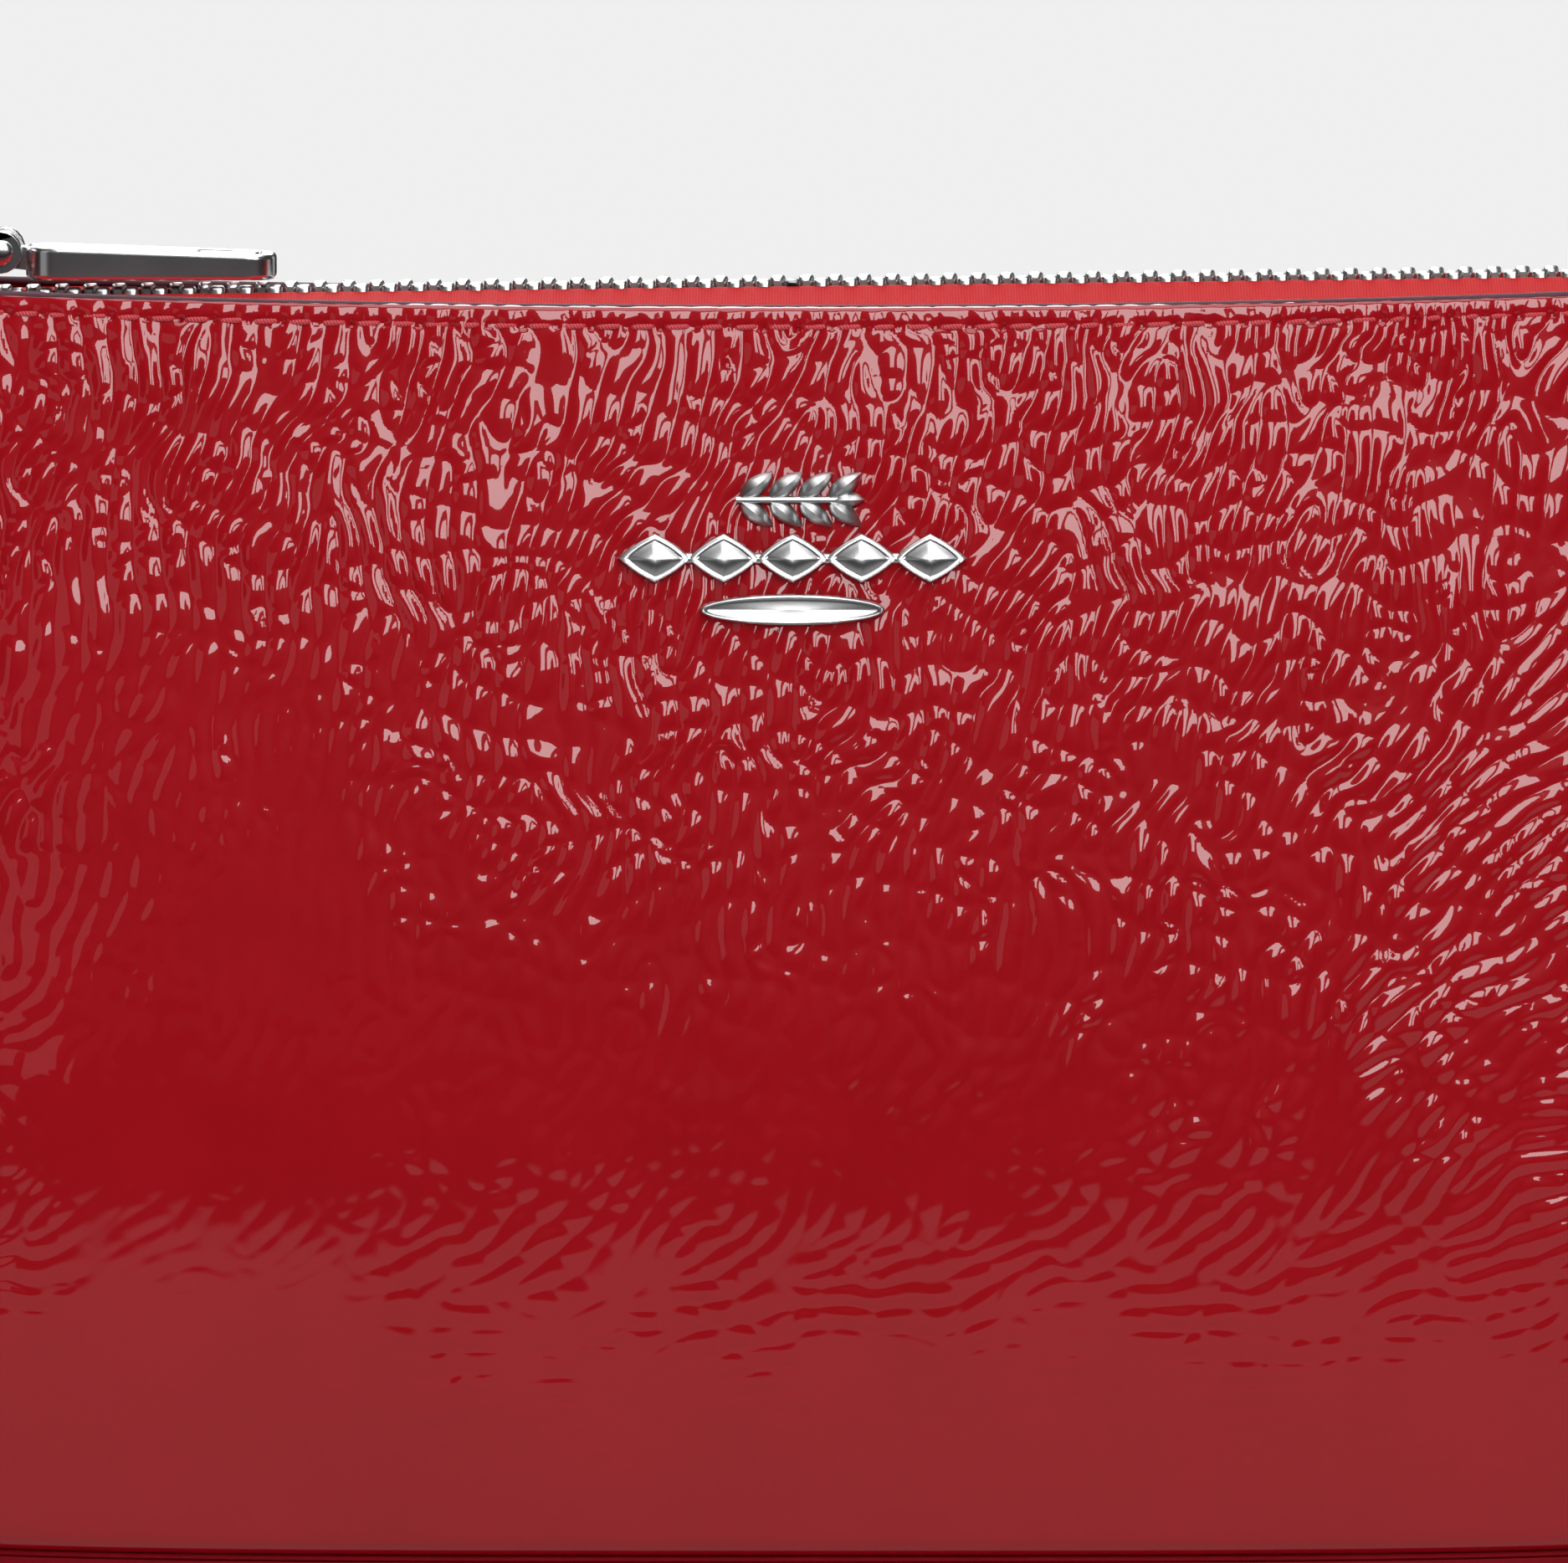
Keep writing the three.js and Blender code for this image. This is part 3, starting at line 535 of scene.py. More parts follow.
def crinkle(s, z, x, pitch, seed):
    """Height of the crinkled surface, in millimetres, on a grid along the wall and up it.

    Ridges stand upright in the upper part, lie down in the lower right, and run level above
    the foot, where the leather is smooth.
    """
    rng = np.random.default_rng(seed)
    shape = (len(s), len(z))
    zz = np.broadcast_to(z[None, :], shape)
    direction = UPRIGHT - DRIFT * smooth_noise(shape, pitch, 8.0, rng)
    direction = direction - LYING_TURN * above(x, *LYING_X) * below(zz, *LYING_Z)
    level = below(zz, *LEVEL_Z)
    direction = direction * (1 - level) + LEVEL_TURN * level
    ridges = wave_field(direction, pitch, RIDGE_WAVE, rng, 17.0, 0.24)
    breaks = wave_field(direction + 90, pitch, BREAK_WAVE, rng, 55.0, 0.4)
    size = np.abs(ridges) / (np.abs(ridges) + 0.35) * 1.35
    broken = 1 - BREAK_DEPTH + BREAK_DEPTH * crests(breaks, 0.02)
    relief = size * crests(ridges, 0.006) * broken
    strength = np.clip(1 + 0.2 * smooth_noise(shape, pitch, 6.0, rng), 0.4, 1.5)
    calm_line = CALM_Z - CALM_SLOPE * np.clip(x, -20, 50)
    strength *= CALM_SHARE + (1 - CALM_SHARE) * above(zz, calm_line - CALM_REACH, CALM_OVER)
    strength *= np.maximum(above(zz, *FOOT_Z), FOOT_SHARE)
    left = below(x, *LEFT_CALM_X) * below(zz, *LEFT_CALM_Z) * above(x, *LEFT_EDGE_X)
    strength *= 1 - LEFT_CALM * left
    return RIDGE_HEIGHT * strength * relief + SWELL * smooth_noise(shape, pitch, 5.0, rng)


# ------------------------------------------------------------------ stitches
STITCH_PITCH = 2.73
STITCH_LENGTH = 2.1
STITCH_DROP = 1.55  # below the top edge
STITCH_RADIUS = 0.21
STITCH_SPAN = LENGTH / 2 - 4
GROOVE_WIDTH, GROOVE_DEPTH = 0.42, 0.16
HOLE_SIZE, HOLE_DEPTH = (0.22, 0.25), 0.30


def stitch_places():
    return np.arange(-STITCH_SPAN, STITCH_SPAN, STITCH_PITCH)


def stitch_groove(x, drop):
    """Dent that the stitch line makes: a shallow groove with a pit at each needle hole."""
    across = np.exp(-(((drop - STITCH_DROP) / GROOVE_WIDTH) ** 2))
    phase = (x + STITCH_SPAN + STITCH_PITCH / 2) % STITCH_PITCH - STITCH_PITCH / 2
    hole = np.exp(-((phase / HOLE_SIZE[0]) ** 2))
    hole = hole * np.exp(-(((drop - STITCH_DROP) / HOLE_SIZE[1]) ** 2))
    inside = np.abs(x) < STITCH_SPAN + 1
    return -(GROOVE_DEPTH * across + HOLE_DEPTH * hole) * inside


def stitch_row(side, name):
    """Thread over the leather from one needle hole to the next."""
    parts = []
    along = np.linspace(-1, 1, 9)
    around = np.linspace(0, 2 * np.pi, 9)[:-1]
    for start in stitch_places():
        middle = start + STITCH_PITCH / 2
        x = middle + along * STITCH_LENGTH / 2
        z = top_edge(x) - STITCH_DROP + 0.05 * along
        out = wall_depth(x, z) - 0.10 + 0.10 * np.sqrt(1 - along**2) - 0.30 * along**8
        radius = STITCH_RADIUS * (1 - 0.55 * np.abs(along) ** 4)
        rings = np.empty((len(along), len(around), 3))
        rings[:, :, 0] = x[:, None]
        rings[:, :, 1] = -side * (out[:, None] + radius[:, None] * np.cos(around) * 0.9)
        rings[:, :, 2] = z[:, None] + radius[:, None] * np.sin(around)
        parts.append(loft(rings))
    obj = outward(merged(name, parts, THREAD))
    return place(obj, "root", "patent_leather")


# ------------------------------------------------------------------ panels
EDGE_ROUND = 1.9
TOP_ROUND = 0.35
SEAM_ROUND = 0.9
INNER_ROWS = 14


def panel(side, name, node, pitch, seed):
    """A crinkled panel, from the bottom seam to the painted edge, with its inner face."""
    turns, s = even_turns(pitch)
    rows = int((HEIGHT - FOOT) / pitch) + 1
    v = np.linspace(0, 1, rows)
    guess = wall_points(turns[:, None], FOOT + v[None, :] * (HEIGHT - FOOT), 0.0, side)
    x = guess[:, :, 0]
    top = top_edge(x)
    z = FOOT + v[None, :] * (top - FOOT)
    from_end = np.minimum(s, s[-1] - s)[:, None]
    inset = round_in(z - FOOT, EDGE_ROUND) + round_in(top - z, TOP_ROUND)
    inset = inset + round_in(from_end, SEAM_ROUND)
    outer = wall_points(turns[:, None], z, inset, side)
    along = np.gradient(outer, axis=0)
    up = np.gradient(outer, axis=1)
    normal = np.cross(along, up) * side
    normal /= np.linalg.norm(normal, axis=2, keepdims=True) + 1e-9
    outward_sign = np.sign((normal * (outer - (0, 0, 50)))[:, :, 1:2].sum())
    normal *= outward_sign
    height = crinkle(s, np.linspace(FOOT, HEIGHT, rows), x, pitch, seed)
    calm = np.clip((z - FOOT) / 2.5, 0, 1) * np.clip((top - z) / 1.2, 0.15, 1)
    calm = calm * np.clip(from_end / 3, 0, 1)
    height = height * calm + stitch_groove(x, top - z)
    outer = outer + normal * height[:, :, None]
    inner_z = np.linspace(1, 0, INNER_ROWS)
    inner_z = FOOT + inner_z[None, :] * (top_edge(x[:, :1]) - FOOT)
    inner = wall_points(turns[:, None], inner_z, LEATHER, side)
    verts, faces = loft(np.concatenate([outer, inner], axis=1))
    obj = outward(make_object(name, verts, faces, LEATHER_LOOK))
    return place(obj, "root", "patent_leather", node)


def edge_bead(side, name):
    """Paint over the cut top edge of a panel."""
    turns, _ = even_turns(0.8)
    turns = turns[2:-2]
    around = np.linspace(0, 2 * np.pi, 17)[:-1]
    middle = wall_points(turns, np.full_like(turns, HEIGHT), LEATHER / 2, side)
    middle[:, 2] = top_edge(middle[:, 0]) - 0.12
    heading = np.gradient(middle, axis=0)
    across = np.cross(heading, (0, 0, 1))
    across /= np.linalg.norm(across, axis=1, keepdims=True)
    lip = np.sign(np.cos(around)) * np.abs(np.cos(around)) ** 0.6 * (LEATHER / 2 + 0.07)
    rise = np.sin(around) * np.where(np.sin(around) > 0, 0.26, 0.38)
    rings = middle[:, None, :] + across[:, None, :] * lip[None, :, None]
    rings[:, :, 2] += rise[None, :]
    obj = outward(make_object(name, *loft(rings), PAINT))
    return place(obj, "root", "patent_leather")


BASE_PROFILE = (  # height above the floor, and how far in the edge lies
    (0.0, 1.6),
    (0.0, 0.9),
    (0.08, 0.5),
    (0.35, 0.12),
    (0.8, 0.0),
    (1.15, 0.02),
    (1.4, 0.3),
)


def bottom_panel():
    """The base: flat where it rests, with a rounded edge under the bottom seam."""
    low = box_mm("base_panel")[0]
    turns = np.linspace(0, 1, 161)
    half = wall_points(turns, np.full_like(turns, FOOT), 0.35, FRONT, 0.0)
    other = half[::-1][1:-1] * (1, -1, 1)
    outline = np.concatenate([half, other])
    rings = []
    for z, inset in BASE_PROFILE:
        shrink = 1 - inset / np.linalg.norm(outline[:, :2], axis=1)
        ring = outline * shrink[:, None]
        ring[:, 2] = low[2] + z
        rings.append(ring)
    verts, faces = loft(np.array(rings))
    obj = outward(make_object("base_leather", verts, faces, BASE_LOOK))
    return place(obj, "root", "base_leather", "base_panel")


WELT_HALF_WIDTH, WELT_HALF_HEIGHT, WELT_DROP = 0.45, 0.32, 0.1


def seam_welt():
    """Rolled seam allowance that fills the gap between the panels and the base."""
    turns = np.linspace(0, 1, 241)
    half = wall_points(turns, np.full_like(turns, FOOT), 1.05, FRONT, 0.0)
    outline = np.concatenate([half, half[::-1][1:-1] * (1, -1, 1)])
    around = np.linspace(0, 2 * np.pi, 9)[:-1]
    middle = outline.copy()
    middle[:, 2] = FOOT - WELT_DROP
    heading = np.roll(middle, -1, axis=0) - np.roll(middle, 1, axis=0)
    across = np.cross(heading, (0, 0, 1))
    across /= np.linalg.norm(across, axis=1, keepdims=True)
    rings = middle[:, None, :] + across[:, None, :] * WELT_HALF_WIDTH * np.cos(around)[None, :, None]
    rings[:, :, 2] += WELT_HALF_HEIGHT * np.sin(around)[None, :]
    rings = np.concatenate([rings, rings[:1]])
    verts, faces = loft(rings, cap=False)
    size = len(around)
    total = len(rings) - 1
    faces = [[k % (total * size) for k in face] for face in faces]
    obj = outward(make_object("bottom_seam", verts[: total * size], faces, BASE_LOOK))
    return place(obj, "root", "base_leather")


FILLER_DEPTH = 0.95  # how far in from the wall it starts
FILLER_HALF = SEAM_SLIT - 0.005


def seam_filler(end, name):
    """Glued seam allowance that shuts the slit between the panels at one end."""
    z = np.linspace(FOOT + 0.5, HEIGHT - 0.6, 60)
    out = half_length(share_at(z))
    rings = np.empty((len(z), 4, 3))
    corners = ((LEATHER, -1), (LEATHER, 1), (FILLER_DEPTH, 1), (FILLER_DEPTH, -1))
    for k, (depth, y) in enumerate(corners):
        rings[:, k, 0] = end * (out - depth)
        rings[:, k, 1] = FILLER_HALF * y
        rings[:, k, 2] = z
    obj = outward(make_object(name, *loft(rings), BASE_LOOK))
    return place(obj, "root", "patent_leather")


LINING_PITCH, LINING_ROWS = 1.5, 64
SLACK_SIZE, SLACK_SPREAD, SLACK_MEAN = 7.0, 0.22, 0.25


def lining(side, name, node, seed):
    """Lining cloth, hung a little slack inside a panel."""
    turns, s = even_turns(LINING_PITCH, LINING_INSET)
    v = np.linspace(0, 1, LINING_ROWS)
    foot = box_mm(node)[0][2]
    guess = wall_points(turns[:, None], foot + v[None, :] * (HEIGHT - foot), LINING_INSET, side)
    top = top_edge(guess[:, :, 0]) - LINING_DROP
    z = foot + v[None, :] * (top - foot)
    rng = np.random.default_rng(seed)
    slack = smooth_noise((len(turns), LINING_ROWS), LINING_PITCH, SLACK_SIZE, rng)
    slack = slack * SLACK_SPREAD + SLACK_MEAN
    slack = slack * np.clip(np.minimum(v, 1 - v) / 0.1, 0, 1)[None, :]
    slack = np.clip(slack, 0, 0.8) * np.clip(np.minimum(s, s[-1] - s) / 6, 0, 1)[:, None]
    outer = wall_points(turns[:, None], z, LINING_INSET + slack, side)
    inner = wall_points(turns[:, None], z, LINING_INSET + LINING_THICK + slack, side)
    rings = np.concatenate([outer, inner[:, ::-1]], axis=1)
    obj = outward(make_object(name, *loft(rings), TWILL))
    return place(obj, "root", "lining", node)


FRONT_PITCH, FRONT_SEED = 0.26, 7  # size of the mesh's squares, and the crinkle's seed
BACK_PITCH, BACK_SEED = 0.30, 19
LINING_SEED = 31

panel(FRONT, "front_leather", "front_panel", FRONT_PITCH, FRONT_SEED)
panel(BACK, "back_leather", "back_panel", BACK_PITCH, BACK_SEED)
for side, word in ((FRONT, "front"), (BACK, "back")):
    edge_bead(side, word + "_edge_paint")
    stitch_row(side, word + "_topstitch")
    lining(side, word + "_lining_cloth", word + "_lining", LINING_SEED + side)
seam_filler(-1, "left_seam_filler")
seam_filler(1, "right_seam_filler")
bottom_panel()
seam_welt()


# ------------------------------------------------------------------ zip
TAPE_THICK = 0.5
TAPE_FLAT = 3.3
CORD_THICK = 0.6
TAPE_SAG = 0.08  # how far the tape's middle lies below the chain's


def mouth_inner(x):
    return wall_depth(x, HEIGHT, LEATHER) - 0.1


def tape_height(x, y):
    """Middle of the tape: level beside the chain, then down to the panel's edge."""
    outer = np.maximum(mouth_inner(x), TAPE_FLAT + 0.1)
    share = np.clip((y - TAPE_FLAT) / (outer - TAPE_FLAT), 0, 1)
    chain = CHAIN_Z + TILT * x - TAPE_SAG
    return chain + (np.minimum(top_edge(x) - 0.7, chain) - chain) * share


def tape_leaf(side, x0, x1, name, inner=BEAD_Y + 0.1):
    """Tape from the bead cord out to the panel, with the cord rolled into its edge."""
    xs = np.linspace(x0, x1, max(3, int((x1 - x0) / 0.8)))
    outer = mouth_inner(xs)
    steps = np.linspace(0, 1, 12)
    y = inner + (outer[:, None] - inner) * steps[None, :]
    z = tape_height(xs[:, None], y)
    ripple = 0.05 * np.sin(xs * 2.1 + side)[:, None] * np.sin(steps * np.pi)[None, :]
    half = np.where(steps < 0.1, CORD_THICK, TAPE_THICK)[None, :] / 2
    upper = np.stack(np.broadcast_arrays(xs[:, None], -side * y, z + half + ripple), -1)
    lower = np.stack(np.broadcast_arrays(xs[:, None], -side * y, z - half + ripple), -1)
    rings = np.concatenate([upper, lower[:, ::-1]], axis=1)
    return outward(make_object(name, *loft(rings), TAPE_LOOK))


def closed_tape(x0, x1, name):
    """Closed tape across the whole mouth beside a side seam."""
    xs = np.linspace(x0, x1, 12)
    steps = np.linspace(-1, 1, 15)
    y = mouth_inner(xs)[:, None] * steps[None, :]
    z = tape_height(xs[:, None], np.abs(y))
    half = TAPE_THICK / 2
    upper = np.stack(np.broadcast_arrays(xs[:, None], y, z + half), -1)
    lower = np.stack(np.broadcast_arrays(xs[:, None], y, z - half), -1)
    rings = np.concatenate([upper, lower[:, ::-1]], axis=1)
    return outward(make_object(name, *loft(rings), TAPE_LOOK))


TOOTH_SECTIONS = (  # distance from the centre line, half-width, half-height
    (3.2, 0.40, 0.55),
    (3.0, 0.58, 0.74),
    (2.2, 0.62, 0.80),
    (1.5, 0.58, 0.78),
    (1.1, 0.42, 0.70),
    (0.3, 0.40, 0.68),
    (-0.2, 0.42, 0.66),
    (-0.5, 0.30, 0.48),
)
TOOTH_SIDES, TOOTH_SQUARENESS = 12, 0.38


def tooth_template(side):
    """One tooth: legs clamped on the bead cord, and a head that passes the centre line."""
    around = (np.arange(TOOTH_SIDES) + 0.5) / TOOTH_SIDES * 2 * np.pi
    c, s = np.cos(around), np.sin(around)
    rings = []
    for y, half_x, half_z in TOOTH_SECTIONS:
        x = half_x * np.sign(c) * np.abs(c) ** TOOTH_SQUARENESS
        z = half_z * np.sign(s) * np.abs(s) ** TOOTH_SQUARENESS
        rings.append(np.stack([x, np.full_like(x, -side * y), z], -1))
    return loft(np.array(rings))


def tooth_row(side, x0, x1, name):
    """Teeth of one row whose middles lie between x0 and x1 along the chain."""
    shift = 0 if side == FRONT else TOOTH_PITCH / 2
    first = math.ceil((x0 - shift) / TOOTH_PITCH)
    verts, faces = tooth_template(side)
    turn = np.array(CHAIN_TURN)
    parts = []
    x = first * TOOTH_PITCH + shift
    while x < x1:
        moved = (verts + (x, 0, 0)) @ turn.T + (0, 0, CHAIN_Z)
        parts.append((moved, faces))
        x += TOOTH_PITCH
    return outward(merged(name, parts, NICKEL))


def bend_row(obj, body, side_of_middle, slot, *nodes):
    """A piece of a zip row, with its placement baked into its mesh and the CAD nodes that it stands for hidden."""
    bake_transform(obj)
    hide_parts(*nodes)


TOOTH_MARGIN = 0.42  # keeps half a tooth from a row's end


def zip_rows():
    for side, word in ((FRONT, "front"), (BACK, "back")):
        body = word + "_row"
        left = tape_leaf(side, TAPE_START, 0, word + "_tape_left")
        right = tape_leaf(side, 0, ROW_END, word + "_tape_right")
        bend_row(left, body, -1, "zip_tape", word + "_tape")
        bend_row(right, body, 1, "zip_tape", word + "_tape")
        left = tooth_row(side, ROW_START + TOOTH_MARGIN, 0, word + "_teeth_left")
        right = tooth_row(side, 0, ROW_END - TOOTH_MARGIN, word + "_teeth_right")
        bend_row(left, body, -1, "zip_metal", word + "_teeth")
        bend_row(right, body, 1, "zip_metal", word + "_teeth")
        end = tooth_row(side, ROW_END - TOOTH_MARGIN, CHAIN_END - 0.3, word + "_closed_teeth")
        place(end, "root", "zip_metal", word + "_chain_end")


def zip_ends():
    low, high = box_mm("left_tape_end")
    place(closed_tape(low[0], high[0], "left_closed_tape"), "root", "zip_tape", "left_tape_end")
    low, high = box_mm("right_tape_end")
    joint_x = box_mm("bottom_stop")[1][0] + 0.3
    end = closed_tape(joint_x, high[0], "right_closed_tape")
    place(end, "root", "zip_tape", "right_tape_end")
    for side, word in ((FRONT, "front"), (BACK, "back")):
        leg = tape_leaf(side, ROW_END, joint_x, word + "_closed_tape")
        place(leg, "root", "zip_tape")


zip_rows()
zip_ends()


# ------------------------------------------------------------------ metal pieces
def rounded_outline(points, radius, steps=5):
    """A closed 2-D outline with rounded corners."""
    made = []
    count = len(points)
    for k in range(count):
        here = np.array(points[k], float)
        before = np.array(points[k - 1], float) - here
        after = np.array(points[(k + 1) % count], float) - here
        r = min(radius, np.linalg.norm(before) / 2.01, np.linalg.norm(after) / 2.01)
        start = here + before / np.linalg.norm(before) * r
        end = here + after / np.linalg.norm(after) * r
        for t in np.linspace(0, 1, steps):
            made.append((1 - t) ** 2 * start + 2 * t * (1 - t) * here + t**2 * end)
    return np.array(made)


def drawn_out(outline, low, high):
    """An outline in X and Z drawn out along Y from low to high, as vertices and faces."""
    rings = [[(p[0], level, p[1]) for p in outline] for level in (low, high)]
    return loft(np.array(rings))


def carried(node, name, bevel, body, slot="trim_metal", material=None):
    """A CAD piece with its edges rounded."""
    source = frame["nodes"][node]
    verts = np.array([v.co for v in source.data.vertices]) / MM
    faces = [list(p.vertices) for p in source.data.polygons]
    obj = make_object(name, verts, faces, material or CHROME)
    mesh = bmesh.new()
    mesh.from_mesh(obj.data)
    bmesh.ops.remove_doubles(mesh, verts=mesh.verts, dist=1e-6)
    flat = math.radians(1.5)
    bmesh.ops.dissolve_limit(mesh, angle_limit=flat, verts=mesh.verts, edges=mesh.edges)
    mesh.to_mesh(obj.data)
    mesh.free()
    bevelled(outward(obj), bevel, 3, 30)
    return place(obj, body, slot, node)


carried("slider_body", "slider_shell", 0.18, "slider")
carried("slider_bridge", "slider_arch", 0.28, "slider")
carried("pull_link", "pull_knuckle", 0.16, "link")
carried("top_stop", "zip_top_stop", 0.2, "root", "zip_metal", NICKEL)
carried("bottom_stop", "zip_bottom_stop", 0.25, "root", "zip_metal", NICKEL)


def lathed(profile, axis_point, sides=32):
    """A shape turned about a line along Y through axis_point, from (radius, y) pairs."""
    around = np.linspace(0, 2 * np.pi, sides + 1)[:-1]
    rings = []
    for radius, y in profile:
        ring = np.stack([radius * np.cos(around), np.full(sides, y), radius * np.sin(around)], -1)
        rings.append(ring + (axis_point[0], 0, axis_point[2]))
    return loft(np.array(rings))


PIN_DOME = 0.45


def pull_pin():
    low, high = box_mm("pull_pin")
    centre = (low + high) / 2
    reach = high[1]
    head = (high[0] - low[0]) / 2
    turns = np.linspace(0.15, 1.57, 7)
    dome = [(head * math.sin(t), reach - PIN_DOME + PIN_DOME * math.cos(t)) for t in turns]
    shank = [(0.7, reach - PIN_DOME - 0.01)]
    half = dome + shank
    profile = half + [(r, -y) for r, y in half[::-1]]
    obj = outward(merged("pull_rivet", [lathed(profile, centre)], CHROME))
    return place(obj, "link", "trim_metal", "pull_pin")


pull_pin()


TAB_THICK = (2.7, 2.0)  # at the pin's end and at the free end
TAB_CORNER, TAB_BEVEL = 2.4, 0.38
TAB_START = 1.95  # from the pin
SLOT_MARGIN, SLOT_LENGTH, SLOT_HALF, SLOT_CORNER = 1.5, 4.6, 1.7, 0.35


def pull_tab():
    """The bar of the pull: a tapered slab with round corners and a slot near its free end."""
    high = box_mm("pull_tab")[1]
    pin = np.array(joint("tab_lift")["pos_m"]) / MM
    near, far, half = pin[0] + TAB_START, high[0], high[1]
    corners = [(near, -half), (far, -half), (far, half), (near, half)]
    outer = rounded_outline(corners, TAB_CORNER, 9)
    slot_end = far - SLOT_MARGIN
    slot_start = slot_end - SLOT_LENGTH
    corners = [
        (slot_start, -SLOT_HALF),
        (slot_end, -SLOT_HALF),
        (slot_end, SLOT_HALF),
        (slot_start, SLOT_HALF),
    ]
    slot = rounded_outline(corners, SLOT_CORNER, 9)
    rings = []
    for outline, level in ((slot, 1), (outer, 1), (outer, -1), (slot, -1)):
        along = (outline[:, 0] - near) / (far - near)
        thick = TAB_THICK[0] + (TAB_THICK[1] - TAB_THICK[0]) * along
        middle = pin[2] - 0.9 - 0.6 * along
        middle = middle + TILT * (outline[:, 0] - pin[0])
        z = middle + level * thick / 2
        rings.append(np.column_stack([outline, z]))
    rings = np.array(rings + rings[:1])
    verts, faces = loft(rings, cap=False)
    size, total = len(outer), len(rings) - 1
    faces = [[k % (total * size) for k in face] for face in faces]
    bar = (verts[: total * size], faces)
    knob_axis = (pin[0], 0, pin[2])
    knob = lathed([(0.9, -1.35), (1.4, -1.2), (1.4, 1.2), (0.9, 1.35)], knob_axis)
    neck_outline = [
        (pin[0], pin[2] - 1.3),
        (near + 0.8, pin[2] - 1.6),
        (near + 0.8, pin[2] + 0.2),
        (pin[0], pin[2] + 0.5),
    ]
    neck = drawn_out(neck_outline, -1.3, 1.3)
    obj = outward(merged("pull_bar", [bar], CHROME))
    bevelled(obj, TAB_BEVEL, 4, 40)
    place(obj, "tab", "trim_metal", "pull_tab")
    tongue = outward(merged("pull_tongue", [knob, neck], CHROME))
    place(tongue, "tab", "trim_metal")


pull_tab()


# ------------------------------------------------------------------ emblem
def on_panel(x, z, out):
    """A point at a distance out from the front panel."""
    return np.array([x, -wall_depth(x, z) - out, z])


EMBLEM_LIFT = 0.15  # the emblem's foot stands this far off the leather
GEM_SIDES, GEM_RISE = 28, 1.15
GEM_PROFILE = (  # share of the lozenge's size, and of its rise
    (1.0, 0.0),
    (1.02, 0.45),
    (0.97, 0.62),
    (0.80, 0.66),
    (0.74, 0.60),
    (0.32, 1.0),
    (0.05, 1.02),
)


def gem(cx, cz, half_x, half_z, base_out, rise):
    """A lozenge with a raised rim and facets that climb to a small flat top."""
    around = np.linspace(0, 2 * np.pi, GEM_SIDES + 1)[:-1]
    c, s = np.cos(around), np.sin(around)
    lens = np.abs(c) + np.abs(s)
    shape_x = c / lens ** 0.75
    shape_z = s / lens ** 0.75
    rings = []
    for share, climb in GEM_PROFILE:
        ring = []
        for px, pz in zip(half_x * share * shape_x, half_z * share * shape_z):
            ring.append(on_panel(cx + px, cz + pz, base_out + rise * climb))
        rings.append(ring)
    return loft(np.array(rings))


def emblem_bar():
    low, high = box_mm("emblem_bar")
    centre_z = (low[2] + high[2]) / 2
    count = 5
    step = (high[0] - low[0]) / count
    half = (high[2] - low[2]) / 2 * 0.97
    parts = []
    for k in range(count):
        middle = low[0] + step * (k + 0.5)
        parts.append(gem(middle, centre_z, step / 2 * 1.05, half, EMBLEM_LIFT, GEM_RISE))
    rail = []
    for x in np.linspace(low[0] + 1.2, high[0] - 1.2, 40):
        ring = []
        for t in np.linspace(0, 2 * np.pi, 13)[:-1]:
            ring.append(on_panel(x, centre_z + 0.42 * math.cos(t), 0.5 + 0.38 * math.sin(t)))
        rail.append(ring)
    parts.append(loft(np.array(rail)))
    obj = outward(merged("emblem_lozenges", parts, SILVER))
    return place(obj, "root", "trim_metal", "emblem_bar")


LEAF_PROFILE = (  # share of the half-width, and of the rise
    (-1, 0),
    (-0.95, 0.35),
    (-0.5, 0.62),
    (0, 1.0),
    (0.5, 0.62),
    (0.95, 0.35),
    (1, 0),
    (0, -0.05),
)


def leaf(stem, tip, width, base_out, rise):
    """A leaf with a raised midrib, from its stem to its tip."""
    stem, tip = np.array(stem, float), np.array(tip, float)
    way = tip - stem
    side = np.array([-way[1], way[0]]) / np.linalg.norm(way)
    rings = []
    for t in np.linspace(0.02, 0.98, 14):
        half = width * math.sin(math.pi * t ** 0.8) ** 0.8 + 0.05
        middle = stem + way * t
        swell = rise * (0.5 + 0.5 * math.sin(math.pi * t))
        ring = []
        for across, up in LEAF_PROFILE:
            spot = middle + side * half * across
            ring.append(on_panel(spot[0], spot[1], base_out + swell * up))
        rings.append(ring)
    return loft(np.array(rings))


def emblem_sprig():
    low, high = box_mm("emblem_sprig")
    centre_z = (low[2] + high[2]) / 2
    reach = (high[2] - low[2]) / 2
    parts = []
    stem = []
    for x in np.linspace(low[0] + 0.3, high[0] - 1.6, 24):
        ring = [on_panel(x, centre_z + 0.28 * math.cos(t), 0.45 + 0.28 * math.sin(t))
                for t in np.linspace(0, 2 * np.pi, 11)[:-1]]
        stem.append(ring)
    parts.append(loft(np.array(stem)))
    for k in range(4):
        x = low[0] + 0.6 + 2.35 * k
        for way in (-1, 1):
            tip = (x + 2.6, centre_z + way * reach * 0.97)
            parts.append(leaf((x, centre_z + way * 0.1), tip, 0.72, EMBLEM_LIFT, 0.95))
    tip = (high[0], centre_z)
    parts.append(leaf((high[0] - 2.6, centre_z), tip, 0.62, EMBLEM_LIFT, 0.9))
    obj = outward(merged("emblem_leaves", parts, SILVER))
    return place(obj, "root", "trim_metal", "emblem_sprig")


